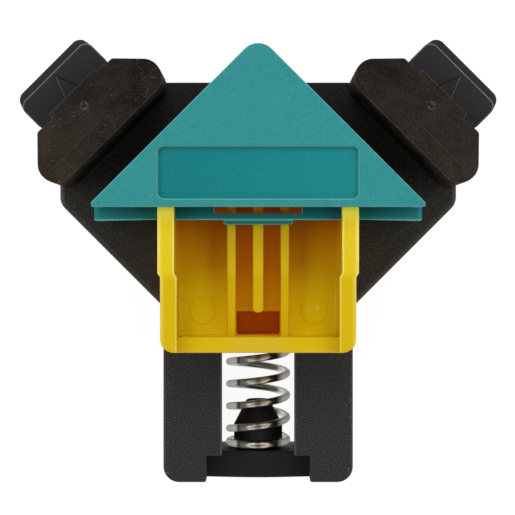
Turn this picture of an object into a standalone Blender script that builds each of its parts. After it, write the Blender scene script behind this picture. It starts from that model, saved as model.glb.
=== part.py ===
"""Corner clamp for mitred frames.

A black base carries two swivelling pads on 45 degree arms. A wedge and a finger tray form one
carriage that slides in the base's slot. A spring pushes the carriage towards the arms, so that
two boards are held between the wedge's faces and the pads. Pulling the tray towards the legs
opens both gaps.

Units are metres. +Z is up, +Y points from the legs to the arms. The plan is drawn about a datum
point in the middle of the plate, from which the normals of both jaws start. The empty
"clamp_datum" puts that point so that the middle of the footprint lies at the origin.

A jaw's own plan has two coordinates: "across" runs along the jaw, positive towards the clamp's
back, and "out" runs along the jaw's normal, away from the datum.
"""

import math

import bmesh
import bpy
from mathutils import Matrix, Vector

# Fits
TOUCH_GAP = 0.0003
RUN_GAP = 0.0005
CUT_MARGIN = 0.0010

# Base frame
BASE_HEIGHT = 0.0300
BASE_SKIN = 0.0030
BASE_WALL = 0.0030
BASE_RIB = 0.0020
BASE_HALF_WIDTH = 0.0630
BASE_BACK_Y = 0.0556
BASE_CORNER_RADIUS = 0.0050
BASE_EDGE = 0.0006
CHEEK_SHIFT = 0.0459
LEG_OUTER_X = 0.0300
LEG_END_Y = -0.0714
CELL_LENGTH = 0.0130
PLATE_CELL = 0.0140

# Arms of the base
ARM_SHIFT = -0.0046
ARM_HALF_WIDTH = 0.0142
ARM_CORNER_RADIUS = 0.0028

# Slot and crossbar
SLOT_HALF_WIDTH = 0.01145
SLOT_BACK_Y = 0.0210
CROSSBAR_HEIGHT = 0.0218
CROSSBAR_DEPTH = 0.0087
NOTCH_HALF_WIDTH = 0.0165
NOTCH_DEPTH = 0.0084

# Wedge
WEDGE_FACE_OUT = 0.04725
WEDGE_HEIGHT = 0.0216
WEDGE_GROUND_GAP = 0.0004
WEDGE_WALL = 0.0030
WEDGE_TOP_SKIN = 0.0030
WEDGE_APEX_RADIUS = 0.0057
WEDGE_EDGE = 0.0004
WEDGE_HALF_WIDTH = 0.0502
WEDGE_CORNER_SIDE = 0.0013
WEDGE_LEDGE = 0.0037
WEDGE_SHELF_DROP = 0.0080
WEDGE_SHELF = 0.0020
WINDOW_HALF_WIDTH = 0.01345
WINDOW_INSET = 0.0019
TAB_HALF_WIDTH = 0.0106
TAB_REACH = 0.0015
TAB_DROP = 0.0022
RECESS_HALF_WIDTH = 0.0303
RECESS_FRONT = 0.0022
RECESS_LENGTH = 0.0159
RECESS_DEPTH = 0.0010
RECESS_RADIUS = 0.0020

# Tray
TRAY_END_Y = -0.0289
TRAY_BACK_Y = 0.0300
TRAY_HALF_WIDTH = 0.0307
TRAY_WALL = 0.0052
TRAY_END_WALL = 0.0048
TRAY_STEP = 0.0009
TRAY_STEP_Y = -0.0060
TRAY_STEP_LENGTH = 0.0012
TRAY_FLOOR = 0.0032
TRAY_WALL_HEIGHT = 0.0182
TRAY_END_DROP = 0.0035
TRAY_CORNER_RADIUS = 0.0054
TRAY_RIB_HEIGHT = 0.0060
TRAY_RIB_INNER_X = 0.0070
TRAY_RIB = 0.0026
CENTRE_RIB = 0.0032
CENTRE_RIB_SETBACK = 0.0070
CENTRE_RIB_RADIUS = 0.0012
POCKET_LENGTH = 0.0071
POCKET_FLOOR = 0.0190
TRAY_POCKET_SIDE = 0.0001

# Tongue and spring block under the tray
KEEL_SIDE_GAP = 0.00055
BLOCK_FRONT_Y = -0.0270
BLOCK_LENGTH = 0.0180
BLOCK_GROUND_GAP = 0.0025
SPIGOT_LENGTH = 0.0018
SPIGOT_RADIUS = 0.0078

# Keeper plate
KEEPER_OVERLAP = 0.0036
KEEPER_THICKNESS = 0.0030
KEEPER_BACK_SETBACK = 0.0030
KEEPER_CORNER_RADIUS = 0.0015
CARRIAGE_TRAVEL = 0.0170

# Jaw posts
JAW_GAP = 0.00975
POST_FRONT_GAP = 0.0013
POST_HEIGHT = 0.0157
POST_FOOT_DEPTH = 0.0149
POST_SLOPE = 0.0055
POST_FRONT_RADIUS = 0.0008
POST_SCREW_INSET = 0.0053

# Shoes with their rubber facings
SHOE_DEPTH = 0.0164
SHOE_HALF_WIDTH = 0.0240
SHOE_HEIGHT = 0.0215
SHOE_NOSE_RADIUS = 0.0056
SHOE_CHAMFER_START = 0.0080
SHOE_BACK_HALF_WIDTH = 0.0158
SHOE_SIDE_RADIUS = 0.0048
SHOE_BACK_RADIUS = 0.0012
FACING_DEPTH = 0.00565
FACING_KEY_DEPTH = 0.0020
FACING_KEY_HALF_WIDTH = 0.0070
FACING_KEY_INSET = 0.0040
SHOE_TAB_HALF_WIDTH = 0.00955
SHOE_TAB_REACH = 0.0014
SHOE_TAB_HEIGHT = 0.0055
PIVOT_FROM_FACE = 0.0121

# Pins
PIN_RADIUS = 0.0025
PIN_SINK = 0.0080
PIN_CAP = 0.0040
PIN_BOSS_RADIUS = 0.0050

# Spring and its cone
WIRE_RADIUS = 0.0011
SPRING_RADIUS = 0.0095
SPRING_AXIS_Z = 0.0115
SPRING_OPEN_TURNS = 3.86
SPRING_CLOSED_TURNS = 1.0
SPRING_FIRST_TURN = -0.333
CONE_RADIUS = 0.00795
CONE_TIP_RADIUS = 0.0034
CONE_STRAIGHT = 0.0070
CONE_LENGTH = 0.0154

# Screws: radius of the shank, radius and thickness of the head
SCREW_RADIUS = 0.0014
SCREW_HEAD_RADIUS = 0.0027
SCREW_HEAD = 0.0015
SCREW_DRIVE_RADIUS = 0.0012
SCREW_DRIVE_FLOOR_RADIUS = 0.0007
SCREW_CROWN_RADIUS = 0.0022
SCREW_CROWN = 0.0007
SCREW_DRIVE_DEPTH = 0.0009
SCREW_BITE = 0.0080
SCREW_BOSS_RADIUS = 0.0040
WEDGE_SCREW_X = 0.0200
WEDGE_SCREW_Y = 0.0220
KEEPER_SCREW_INSET = 0.0045
CONE_SCREW_SINK = 0.0040
POST_SCREW_SINK = 0.0180

# Smoothness of the facets
ARC_STEP = math.radians(15.0)
ROUND_SIDES = 24
SPRING_STEPS = 24
SPRING_SIDES = 10

# Cosine of the jaws' 45 degrees
DIAGONAL = math.sqrt(0.5)

# Levels and lines that several pieces share
SEAT_Y = LEG_END_Y + CROSSBAR_DEPTH
TRAY_FLOOR_Z = BASE_HEIGHT + TOUCH_GAP
TRAY_TOP_Z = TRAY_FLOOR_Z + TRAY_FLOOR
WEDGE_BOTTOM_Z = BASE_HEIGHT + WEDGE_GROUND_GAP
WEDGE_TOP_Z = WEDGE_BOTTOM_Z + WEDGE_HEIGHT
SHELF_TOP_Z = WEDGE_TOP_Z - WEDGE_SHELF_DROP
SHELF_BOTTOM_Z = SHELF_TOP_Z - WEDGE_SHELF
CEILING_Z = WEDGE_TOP_Z - WEDGE_TOP_SKIN
WEDGE_APEX_Y = WEDGE_FACE_OUT / DIAGONAL
WEDGE_CORNER_Y = WEDGE_APEX_Y - WEDGE_HALF_WIDTH
WEDGE_FRONT_Y = WEDGE_CORNER_Y - WEDGE_CORNER_SIDE
LEDGE_Y = WEDGE_FRONT_Y - WEDGE_LEDGE
TONGUE_BOTTOM_Z = BASE_HEIGHT - BASE_SKIN - TOUCH_GAP
KEEL_HALF_WIDTH = SLOT_HALF_WIDTH - KEEL_SIDE_GAP
KEEL_BACK_Y = SLOT_BACK_Y - TOUCH_GAP
KEEPER_HALF_WIDTH = SLOT_HALF_WIDTH + KEEPER_OVERLAP
KEEPER_TOP_Z = TONGUE_BOTTOM_Z - TOUCH_GAP
KEEPER_BACK_Y = KEEL_BACK_Y - KEEPER_BACK_SETBACK
KEEPER_FRONT_Y = BLOCK_FRONT_Y + BLOCK_LENGTH + RUN_GAP
GUIDE_X = KEEPER_HALF_WIDTH + RUN_GAP
KEEPER_BAY_FRONT_Y = KEEPER_FRONT_Y - CARRIAGE_TRAVEL - RUN_GAP
SHOE_FACE_OUT = WEDGE_FACE_OUT + JAW_GAP
PIVOT_OUT = SHOE_FACE_OUT + PIVOT_FROM_FACE
SHOE_BOTTOM_Z = BASE_HEIGHT + RUN_GAP
SHOE_TOP_Z = SHOE_BOTTOM_Z + SHOE_HEIGHT
POST_FRONT_OUT = SHOE_FACE_OUT + SHOE_DEPTH + POST_FRONT_GAP
POST_BACK_OUT = POST_FRONT_OUT + POST_FOOT_DEPTH
POST_SCREW_OUT = POST_FRONT_OUT + POST_SCREW_INSET
ARM_REACH = POST_BACK_OUT + TOUCH_GAP
POST_BOTTOM_Z = BASE_HEIGHT + TOUCH_GAP


def jaw_point(side, across, out):
    """Plan point of a jaw's own coordinates. side is +1 for the right jaw, -1 for the left."""
    return Vector((side * (out - across) * DIAGONAL, (out + across) * DIAGONAL))


def datum_y():
    """Y of the datum point in the world, which centres the footprint on the origin."""
    corner = jaw_point(1, ARM_SHIFT + ARM_HALF_WIDTH - ARM_CORNER_RADIUS, ARM_REACH - ARM_CORNER_RADIUS)
    arm_top = corner.y + ARM_CORNER_RADIUS
    return -(arm_top + LEG_END_Y) / 2


def remove_scene_objects():
    for item in list(bpy.data.objects):
        bpy.data.objects.remove(item, do_unlink=True)


def make_material(name, colour, roughness, metallic=0.0):
    """Principled material. The colour is linear RGB."""
    material = bpy.data.materials.new(name)
    material.use_nodes = True
    shader = material.node_tree.nodes["Principled BSDF"]
    shader.inputs["Base Color"].default_value = (*colour, 1.0)
    shader.inputs["Roughness"].default_value = roughness
    shader.inputs["Metallic"].default_value = metallic
    material.diffuse_color = (*colour, 1.0)
    return material


def make_empty(name, location, parent=None, turn=0.0):
    empty = bpy.data.objects.new(name, None)
    bpy.context.collection.objects.link(empty)
    empty.empty_display_size = 0.01
    empty.parent = parent
    empty.location = location
    empty.rotation_euler = (0.0, 0.0, turn)
    return empty


def make_object(name, mesh_builder, parent, material=None):
    """Turns a bmesh into an object whose coordinates are the parent's own."""
    bmesh.ops.recalc_face_normals(mesh_builder, faces=mesh_builder.faces)
    mesh = bpy.data.meshes.new(name)
    mesh_builder.to_mesh(mesh)
    mesh_builder.free()
    item = bpy.data.objects.new(name, mesh)
    bpy.context.collection.objects.link(item)
    item.parent = parent
    if material:
        mesh.materials.append(material)
    return item


def shade_round(item, angle=35.0):
    item.data.shade_smooth()
    item.data.set_sharp_from_angle(angle=math.radians(angle))


def combine(target, tool, operation, overlapping=False):
    """Boolean with a hidden tool. overlapping is for a tool whose own bodies overlap."""
    modifier = target.modifiers.new(tool.name, "BOOLEAN")
    modifier.operation = operation
    modifier.solver = "EXACT"
    modifier.use_self = overlapping
    modifier.object = tool
    tool.hide_render = True
    tool.display_type = "WIRE"


def rounded(corners):
    """Closed outline from (x, y, radius) corners, anticlockwise, with an arc at each radius."""
    outline = []
    count = len(corners)
    for index, (x, y, radius) in enumerate(corners):
        here = Vector((x, y))
        before = Vector(corners[index - 1][:2]) - here
        after = Vector(corners[(index + 1) % count][:2]) - here
        if radius <= 0.0:
            outline.append(here)
            continue
        before_way = before.normalized()
        after_way = after.normalized()
        opening = before_way.angle(after_way)
        radius = min(radius, 0.45 * min(before.length, after.length) * math.tan(opening / 2))
        centre = here + (before_way + after_way).normalized() * radius / math.sin(opening / 2)
        first = here + before_way * radius / math.tan(opening / 2) - centre
        turn = math.pi - opening
        if before_way.cross(after_way) > 0:
            turn = -turn
        steps = max(2, round(abs(turn) / ARC_STEP))
        for step in range(steps + 1):
            angle = turn * step / steps
            outline.append(centre + Matrix.Rotation(angle, 2) @ first)
    return outline


def inset(outline, distance):
    """Outline moved inwards by a distance, edge by edge."""
    moved = []
    count = len(outline)
    for index, point in enumerate(outline):
        into = (point - outline[index - 1]).normalized()
        away = (outline[(index + 1) % count] - point).normalized()
        normal_in = Vector((-into.y, into.x))
        normal_away = Vector((-away.y, away.x))
        mean = (normal_in + normal_away).normalized()
        moved.append(point + mean * distance / max(0.2, mean.dot(normal_in)))
    return moved


def loft(builder, rings):
    """Skin through rings of equal length, closed by a face at each end."""
    loops = [[builder.verts.new(point) for point in ring] for ring in rings]
    for lower, upper in zip(loops, loops[1:]):
        count = len(lower)
        for index in range(count):
            follow = (index + 1) % count
            builder.faces.new((lower[index], lower[follow], upper[follow], upper[index]))
    builder.faces.new(list(reversed(loops[0])))
    builder.faces.new(loops[-1])
    return builder


def at_height(outline, height):
    return [(point[0], point[1], height) for point in outline]


def prism(outline, bottom, top, edge=0.0, builder=None):
    """Upright prism of an outline, with an optional chamfer round its top edge."""
    rings = [at_height(outline, bottom)]
    if edge > 0.0:
        rings.append(at_height(outline, top - edge))
        rings.append(at_height(inset(outline, edge), top))
    else:
        rings.append(at_height(outline, top))
    return loft(builder or bmesh.new(), rings)


def block(low, high, builder=None):
    """Box between two corner points."""
    (x0, y0, z0), (x1, y1, z1) = low, high
    outline = [Vector((x0, y0)), Vector((x1, y0)), Vector((x1, y1)), Vector((x0, y1))]
    return prism(outline, z0, z1, builder=builder)


def turned(profile, base, axis="Z", sides=ROUND_SIDES, builder=None):
    """Solid of revolution. profile lists (radius, distance along the axis) from one end."""
    base = Vector(base)
    rings = []
    for radius, distance in profile:
        ring = []
        for index in range(sides):
            angle = math.tau * index / sides
            u = radius * math.cos(angle)
            v = radius * math.sin(angle)
            offset = Vector((u, v, distance)) if axis == "Z" else Vector((v, distance, u))
            ring.append(base + offset)
        rings.append(ring)
    return loft(builder or bmesh.new(), rings)


def screw(base, length, axis="Z"):
    """Pan-head screw. base is the middle of the head's outer face, and the shank runs along the axis."""
    profile = [
        (SCREW_DRIVE_FLOOR_RADIUS, SCREW_DRIVE_DEPTH),
        (SCREW_DRIVE_RADIUS, 0.0),
        (SCREW_CROWN_RADIUS, 0.0),
        (SCREW_HEAD_RADIUS, SCREW_CROWN),
        (SCREW_HEAD_RADIUS, SCREW_HEAD),
        (SCREW_RADIUS, SCREW_HEAD),
        (SCREW_RADIUS, length - SCREW_RADIUS),
        (SCREW_RADIUS / 2, length),
    ]
    return turned(profile, base, axis)


def mirrored(corners):
    """Full outline from its right half, which is listed from the front to the back."""
    left = [(-x, y, radius) for x, y, radius in reversed(corners) if x > 0.0]
    return corners + left


def base_corners(wall=0.0):
    """Corners of the base's outline, moved inwards by a wall."""
    slant = wall / DIAGONAL
    low_side = ARM_SHIFT - ARM_HALF_WIDTH + wall
    high_side = ARM_SHIFT + ARM_HALF_WIDTH - wall
    reach = ARM_REACH - wall
    half_width = BASE_HALF_WIDTH - wall
    leg = LEG_OUTER_X - wall
    back = BASE_BACK_Y - wall
    cheek = CHEEK_SHIFT - slant
    low_arm = half_width + low_side / DIAGONAL
    high_arm = back - high_side / DIAGONAL
    low_tip = jaw_point(1, low_side, reach)
    high_tip = jaw_point(1, high_side, reach)
    corner = max(0.0, BASE_CORNER_RADIUS - wall)
    tip = max(0.0, ARM_CORNER_RADIUS - wall)
    return mirrored([
        (leg, LEG_END_Y + wall, corner),
        (leg, leg - cheek, 0.0),
        (half_width, half_width - cheek, corner),
        (half_width, low_arm, 0.0),
        (low_tip.x, low_tip.y, tip),
        (high_tip.x, high_tip.y, tip),
        (high_arm, back, 0.0),
    ])


def both_sides(builder, x0, x1, y0, y1, z0, z1):
    """The same box on the right and on the left."""
    block((x0, y0, z0), (x1, y1, z1), builder)
    block((-x1, y0, z0), (-x0, y1, z1), builder)


def cell_walls(builder, low, high):
    """Ribs, guide walls and bosses that stay between the cells of the underside."""
    seat_wall = SLOT_HALF_WIDTH + BASE_WALL
    guide = GUIDE_X + BASE_RIB
    plate_side = BASE_HALF_WIDTH
    both_sides(builder, 0.0, LEG_OUTER_X, LEG_END_Y, SEAT_Y, low, high)
    both_sides(builder, SLOT_HALF_WIDTH, seat_wall, LEG_END_Y, KEEPER_BAY_FRONT_Y, low, high)
    both_sides(builder, SLOT_HALF_WIDTH, LEG_OUTER_X,
               KEEPER_BAY_FRONT_Y - BASE_RIB, KEEPER_BAY_FRONT_Y, low, high)
    both_sides(builder, GUIDE_X, guide, KEEPER_BAY_FRONT_Y, BASE_BACK_Y, low, high)
    block((-guide, SLOT_BACK_Y, low), (guide, SLOT_BACK_Y + BASE_WALL, high), builder)
    leg_run = KEEPER_BAY_FRONT_Y - BASE_RIB - SEAT_Y
    leg_cells = max(1, round(leg_run / (CELL_LENGTH + BASE_RIB)))
    for index in range(1, leg_cells):
        y = SEAT_Y + leg_run * index / leg_cells
        both_sides(builder, SLOT_HALF_WIDTH, LEG_OUTER_X, y, y + BASE_RIB, low, high)
    plate_run = BASE_BACK_Y - KEEPER_BAY_FRONT_Y
    plate_rows = max(1, round(plate_run / (PLATE_CELL + BASE_RIB)))
    for index in range(1, plate_rows):
        y = KEEPER_BAY_FRONT_Y + plate_run * index / plate_rows
        both_sides(builder, GUIDE_X, plate_side, y, y + BASE_RIB, low, high)
    side_run = plate_side - guide
    side_columns = max(1, round(side_run / (PLATE_CELL + BASE_RIB)))
    for index in range(1, side_columns):
        x = guide + side_run * index / side_columns
        both_sides(builder, x, x + BASE_RIB, LEG_END_Y, BASE_BACK_Y, low, high)
    block((-BASE_RIB / 2, SLOT_BACK_Y, low), (BASE_RIB / 2, BASE_BACK_Y, high), builder)
    for side in (1, -1):
        corners = [
            jaw_point(side, ARM_SHIFT - BASE_RIB / 2, PIVOT_OUT),
            jaw_point(side, ARM_SHIFT - BASE_RIB / 2, ARM_REACH),
            jaw_point(side, ARM_SHIFT + BASE_RIB / 2, ARM_REACH),
            jaw_point(side, ARM_SHIFT + BASE_RIB / 2, PIVOT_OUT),
        ]
        prism(corners if side > 0 else corners[::-1], low, high, builder=builder)
        for out in (PIVOT_OUT, POST_SCREW_OUT):
            x, y = jaw_point(side, ARM_SHIFT, out)
            turned([(PIN_BOSS_RADIUS, low), (PIN_BOSS_RADIUS, high)], (x, y, 0.0), builder=builder)
    return builder


def build_base(datum, material):
    outline = rounded(base_corners())
    base = make_object("base_frame", prism(outline, 0.0, BASE_HEIGHT, BASE_EDGE), datum, material)

    ceiling = BASE_HEIGHT - BASE_SKIN
    cells = make_object(
        "base_cells_cutter",
        prism(rounded(base_corners(BASE_WALL)), -CUT_MARGIN, ceiling),
        datum,
    )
    walls = make_object(
        "base_cell_walls",
        cell_walls(bmesh.new(), -2 * CUT_MARGIN, BASE_HEIGHT),
        datum,
    )
    combine(cells, walls, "DIFFERENCE", overlapping=True)
    combine(base, cells, "DIFFERENCE")

    over = BASE_HEIGHT + CUT_MARGIN
    slot = block(
        (-SLOT_HALF_WIDTH, SEAT_Y, -CUT_MARGIN),
        (SLOT_HALF_WIDTH, SLOT_BACK_Y, over),
    )
    slot = make_object("base_slot_cutter", slot, datum)
    combine(base, slot, "DIFFERENCE")

    bay = block(
        (-GUIDE_X, KEEPER_BAY_FRONT_Y, -CUT_MARGIN),
        (GUIDE_X, SLOT_BACK_Y, ceiling),
    )
    bay = make_object("keeper_bay_cutter", bay, datum)
    combine(base, bay, "DIFFERENCE")

    notch = block(
        (-NOTCH_HALF_WIDTH, LEG_END_Y - CUT_MARGIN, CROSSBAR_HEIGHT),
        (NOTCH_HALF_WIDTH, LEG_END_Y + NOTCH_DEPTH, over),
    )
    block(
        (-SLOT_HALF_WIDTH, LEG_END_Y + NOTCH_DEPTH - CUT_MARGIN, CROSSBAR_HEIGHT),
        (SLOT_HALF_WIDTH, SEAT_Y + CUT_MARGIN, over),
        notch,
    )
    notch = make_object("base_notch_cutter", notch, datum)
    combine(base, notch, "DIFFERENCE", overlapping=True)

    holes = bmesh.new()
    bore = SCREW_RADIUS + TOUCH_GAP
    sink = SCREW_HEAD_RADIUS + TOUCH_GAP
    for side in (1, -1):
        x, y = jaw_point(side, ARM_SHIFT, PIVOT_OUT)
        radius = PIN_RADIUS + TOUCH_GAP
        pin_hole = BASE_HEIGHT - PIN_SINK
        turned([(radius, pin_hole), (radius, over)], (x, y, 0.0), builder=holes)
        x, y = jaw_point(side, ARM_SHIFT, POST_SCREW_OUT)
        profile = [(sink, -CUT_MARGIN), (sink, POST_SCREW_SINK), (bore, POST_SCREW_SINK), (bore, over)]
        turned(profile, (x, y, 0.0), builder=holes)
    cone_hole = [
        (sink, -CUT_MARGIN),
        (sink, CONE_SCREW_SINK),
        (bore, CONE_SCREW_SINK),
        (bore, CROSSBAR_DEPTH + CUT_MARGIN),
    ]
    turned(cone_hole, (0.0, LEG_END_Y, SPRING_AXIS_Z), "Y", builder=holes)
    holes = make_object("base_hole_cutter", holes, datum)
    combine(base, holes, "DIFFERENCE")
    return base


def build_wedge(carriage, material):
    def outline(wall, front, radius):
        half = WEDGE_HALF_WIDTH - wall
        shoulder = WEDGE_CORNER_Y + wall - wall / DIAGONAL
        return rounded(mirrored([
            (half, front, 0.0),
            (half, shoulder, 0.0),
            (0.0, WEDGE_APEX_Y - wall / DIAGONAL, radius),
        ]))

    wedge = make_object(
        "wedge_jaw",
        prism(outline(0.0, LEDGE_Y, WEDGE_APEX_RADIUS), WEDGE_BOTTOM_Z, WEDGE_TOP_Z, WEDGE_EDGE),
        carriage,
        material,
    )
    inner_radius = WEDGE_APEX_RADIUS - WEDGE_WALL
    room = outline(WEDGE_WALL, LEDGE_Y - CUT_MARGIN, inner_radius)
    lower = make_object(
        "wedge_room_cutter", prism(room, WEDGE_BOTTOM_Z - CUT_MARGIN, SHELF_BOTTOM_Z), carriage)
    upper = make_object("wedge_gap_cutter", prism(room, SHELF_TOP_Z, CEILING_Z), carriage)
    combine(wedge, lower, "DIFFERENCE")
    combine(wedge, upper, "DIFFERENCE")

    over = WEDGE_TOP_Z + CUT_MARGIN
    far = WEDGE_HALF_WIDTH + CUT_MARGIN
    step = block((-far, LEDGE_Y - CUT_MARGIN, SHELF_TOP_Z), (far, WEDGE_FRONT_Y, over))
    step = make_object("wedge_step_cutter", step, carriage)
    combine(wedge, step, "DIFFERENCE")

    openings = bmesh.new()
    low = SHELF_BOTTOM_Z - CUT_MARGIN
    high = (SHELF_TOP_Z + CEILING_Z) / 2
    both_sides(
        openings,
        TRAY_HALF_WIDTH - TRAY_WALL - TOUCH_GAP,
        TRAY_HALF_WIDTH + TOUCH_GAP,
        LEDGE_Y - CUT_MARGIN,
        TRAY_BACK_Y + TOUCH_GAP,
        low,
        high,
    )
    window_front = LEDGE_Y + WINDOW_INSET
    block(
        (-WINDOW_HALF_WIDTH, window_front, low),
        (WINDOW_HALF_WIDTH, TRAY_BACK_Y + TOUCH_GAP, high),
        openings,
    )
    openings = make_object("wedge_shelf_cutter", openings, carriage)
    combine(wedge, openings, "DIFFERENCE")

    front = WEDGE_FRONT_Y + RECESS_FRONT
    back = front + RECESS_LENGTH
    recess = rounded(mirrored([
        (RECESS_HALF_WIDTH, front, RECESS_RADIUS),
        (RECESS_HALF_WIDTH, back, RECESS_RADIUS),
    ]))
    recess = make_object("wedge_recess_cutter", prism(recess, WEDGE_TOP_Z - RECESS_DEPTH, over), carriage)
    combine(wedge, recess, "DIFFERENCE")

    extras = bmesh.new()
    block(
        (-TAB_HALF_WIDTH, LEDGE_Y - TAB_REACH, SHELF_BOTTOM_Z - TAB_DROP),
        (TAB_HALF_WIDTH, window_front, SHELF_BOTTOM_Z + WEDGE_SHELF / 2),
        extras,
    )
    boss_bottom = TRAY_TOP_Z + TOUCH_GAP
    boss_top = CEILING_Z + WEDGE_TOP_SKIN / 3
    for side in (1, -1):
        turned(
            [(SCREW_BOSS_RADIUS, boss_bottom), (SCREW_BOSS_RADIUS, boss_top)],
            (side * WEDGE_SCREW_X, WEDGE_SCREW_Y, 0.0),
            builder=extras,
        )
    extras = make_object("wedge_boss_tool", extras, carriage)
    combine(wedge, extras, "UNION")

    holes = bmesh.new()
    bore = SCREW_RADIUS + TOUCH_GAP
    for side in (1, -1):
        turned(
            [(bore, boss_bottom - CUT_MARGIN), (bore, boss_bottom + SCREW_BITE + CUT_MARGIN)],
            (side * WEDGE_SCREW_X, WEDGE_SCREW_Y, 0.0),
            builder=holes,
        )
    holes = make_object("wedge_hole_cutter", holes, carriage)
    combine(wedge, holes, "DIFFERENCE")
    return wedge


def keeper_screw_places():
    return (
        ("keeper_screw_front", KEEPER_FRONT_Y + KEEPER_SCREW_INSET),
        ("keeper_screw_rear", KEEPER_BACK_Y - KEEPER_SCREW_INSET),
    )


def build_tray(carriage, material):
    outer = TRAY_HALF_WIDTH
    inner = TRAY_HALF_WIDTH - TRAY_WALL
    step_end = TRAY_STEP_Y + TRAY_STEP_LENGTH
    end_inner = TRAY_END_Y + TRAY_END_WALL
    wall_top = TRAY_FLOOR_Z + TRAY_WALL_HEIGHT
    outline = rounded(mirrored([
        (outer - TRAY_STEP, TRAY_END_Y, TRAY_CORNER_RADIUS),
        (outer - TRAY_STEP, TRAY_STEP_Y, 0.0),
        (outer, step_end, 0.0),
        (outer, TRAY_BACK_Y, 0.0),
    ]))
    tray = make_object("trigger_tray", prism(outline, TRAY_FLOOR_Z, wall_top, BASE_EDGE / 2), carriage, material)

    over = wall_top + CUT_MARGIN
    room = rounded(mirrored([
        (inner - TRAY_STEP, end_inner, 0.0),
        (inner - TRAY_STEP, TRAY_STEP_Y, 0.0),
        (inner, step_end, 0.0),
        (inner, TRAY_BACK_Y + CUT_MARGIN, 0.0),
    ]))
    room = make_object("tray_room_cutter", prism(room, TRAY_TOP_Z, over), carriage)
    combine(tray, room, "DIFFERENCE")
    dip = block(
        (TRAY_STEP - inner, TRAY_END_Y - CUT_MARGIN, wall_top - TRAY_END_DROP),
        (inner - TRAY_STEP, end_inner + CUT_MARGIN, over),
    )
    dip = make_object("tray_dip_cutter", dip, carriage)
    combine(tray, dip, "DIFFERENCE")

    ribs = bmesh.new()
    sunk = TRAY_TOP_Z - TRAY_FLOOR / 2
    rib_top = TRAY_TOP_Z + TRAY_RIB_HEIGHT
    both_sides(
        ribs,
        TRAY_RIB_INNER_X,
        TRAY_RIB_INNER_X + TRAY_RIB,
        end_inner - TRAY_END_WALL / 2,
        TRAY_BACK_Y,
        sunk,
        rib_top,
    )
    half = CENTRE_RIB / 2
    rib_end = end_inner + CENTRE_RIB_SETBACK
    centre = rounded(mirrored([
        (half, rib_end, CENTRE_RIB_RADIUS),
        (half, TRAY_BACK_Y, 0.0),
    ]))
    prism(centre, sunk, rib_top, builder=ribs)
    ribs = make_object("tray_rib_tool", ribs, carriage)
    combine(tray, ribs, "UNION")

    tongue = block(
        (-KEEL_HALF_WIDTH, BLOCK_FRONT_Y, TONGUE_BOTTOM_Z),
        (KEEL_HALF_WIDTH, KEEL_BACK_Y, TRAY_FLOOR_Z + TRAY_FLOOR / 2),
    )
    tongue = make_object("tray_tongue_tool", tongue, carriage)
    combine(tray, tongue, "UNION")
    spring_block = block(
        (-KEEL_HALF_WIDTH, BLOCK_FRONT_Y, BLOCK_GROUND_GAP),
        (KEEL_HALF_WIDTH, BLOCK_FRONT_Y + BLOCK_LENGTH, TRAY_FLOOR_Z + TRAY_FLOOR / 3),
    )
    spring_block = make_object("tray_block_tool", spring_block, carriage)
    combine(tray, spring_block, "UNION")
    spigot = turned(
        [(SPIGOT_RADIUS - SPIGOT_LENGTH / 2, -SPIGOT_LENGTH), (SPIGOT_RADIUS, CUT_MARGIN)],
        (0.0, BLOCK_FRONT_Y, SPRING_AXIS_Z),
        "Y",
    )
    spigot = make_object("tray_spigot_tool", spigot, carriage)
    combine(tray, spigot, "UNION")

    cuts = bmesh.new()
    pocket_side = TRAY_RIB_INNER_X - TRAY_POCKET_SIDE
    block(
        (-pocket_side, end_inner, BLOCK_GROUND_GAP + POCKET_FLOOR),
        (pocket_side, end_inner + POCKET_LENGTH, TRAY_TOP_Z + CUT_MARGIN / 2),
        cuts,
    )
    bore = SCREW_RADIUS + TOUCH_GAP
    sink = SCREW_HEAD_RADIUS + TOUCH_GAP
    for side in (1, -1):
        profile = [
            (sink, TRAY_FLOOR_Z - CUT_MARGIN),
            (sink, TRAY_FLOOR_Z + SCREW_HEAD + 2 * TOUCH_GAP),
            (bore, TRAY_FLOOR_Z + SCREW_HEAD + 2 * TOUCH_GAP),
            (bore, TRAY_TOP_Z + CUT_MARGIN),
        ]
        turned(profile, (side * WEDGE_SCREW_X, WEDGE_SCREW_Y, 0.0), builder=cuts)
    for _, y in keeper_screw_places():
        top = TRAY_TOP_Z - TRAY_FLOOR / 2
        turned([(bore, TONGUE_BOTTOM_Z - CUT_MARGIN), (bore, top)], (0.0, y, 0.0), builder=cuts)
    cuts = make_object("tray_hole_cutter", cuts, carriage)
    combine(tray, cuts, "DIFFERENCE")
    return tray


def build_keeper(carriage, plate_material, screw_material):
    outline = rounded(mirrored([
        (KEEPER_HALF_WIDTH, KEEPER_FRONT_Y, KEEPER_CORNER_RADIUS),
        (KEEPER_HALF_WIDTH, KEEPER_BACK_Y, KEEPER_CORNER_RADIUS),
    ]))
    bottom = KEEPER_TOP_Z - KEEPER_THICKNESS
    keeper = make_object("keeper_plate", prism(outline, bottom, KEEPER_TOP_Z), carriage, plate_material)
    holes = bmesh.new()
    bore = SCREW_RADIUS + TOUCH_GAP
    head_z = bottom - TOUCH_GAP - SCREW_HEAD
    bite_top = TRAY_TOP_Z - TRAY_FLOOR / 2 - TOUCH_GAP
    for name, y in keeper_screw_places():
        turned([(bore, bottom - CUT_MARGIN), (bore, KEEPER_TOP_Z + CUT_MARGIN)], (0.0, y, 0.0), builder=holes)
        item = make_object(name, screw((0.0, y, head_z), bite_top - head_z), carriage, screw_material)
        shade_round(item)
    holes = make_object("keeper_hole_cutter", holes, carriage)
    combine(keeper, holes, "DIFFERENCE")


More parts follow.
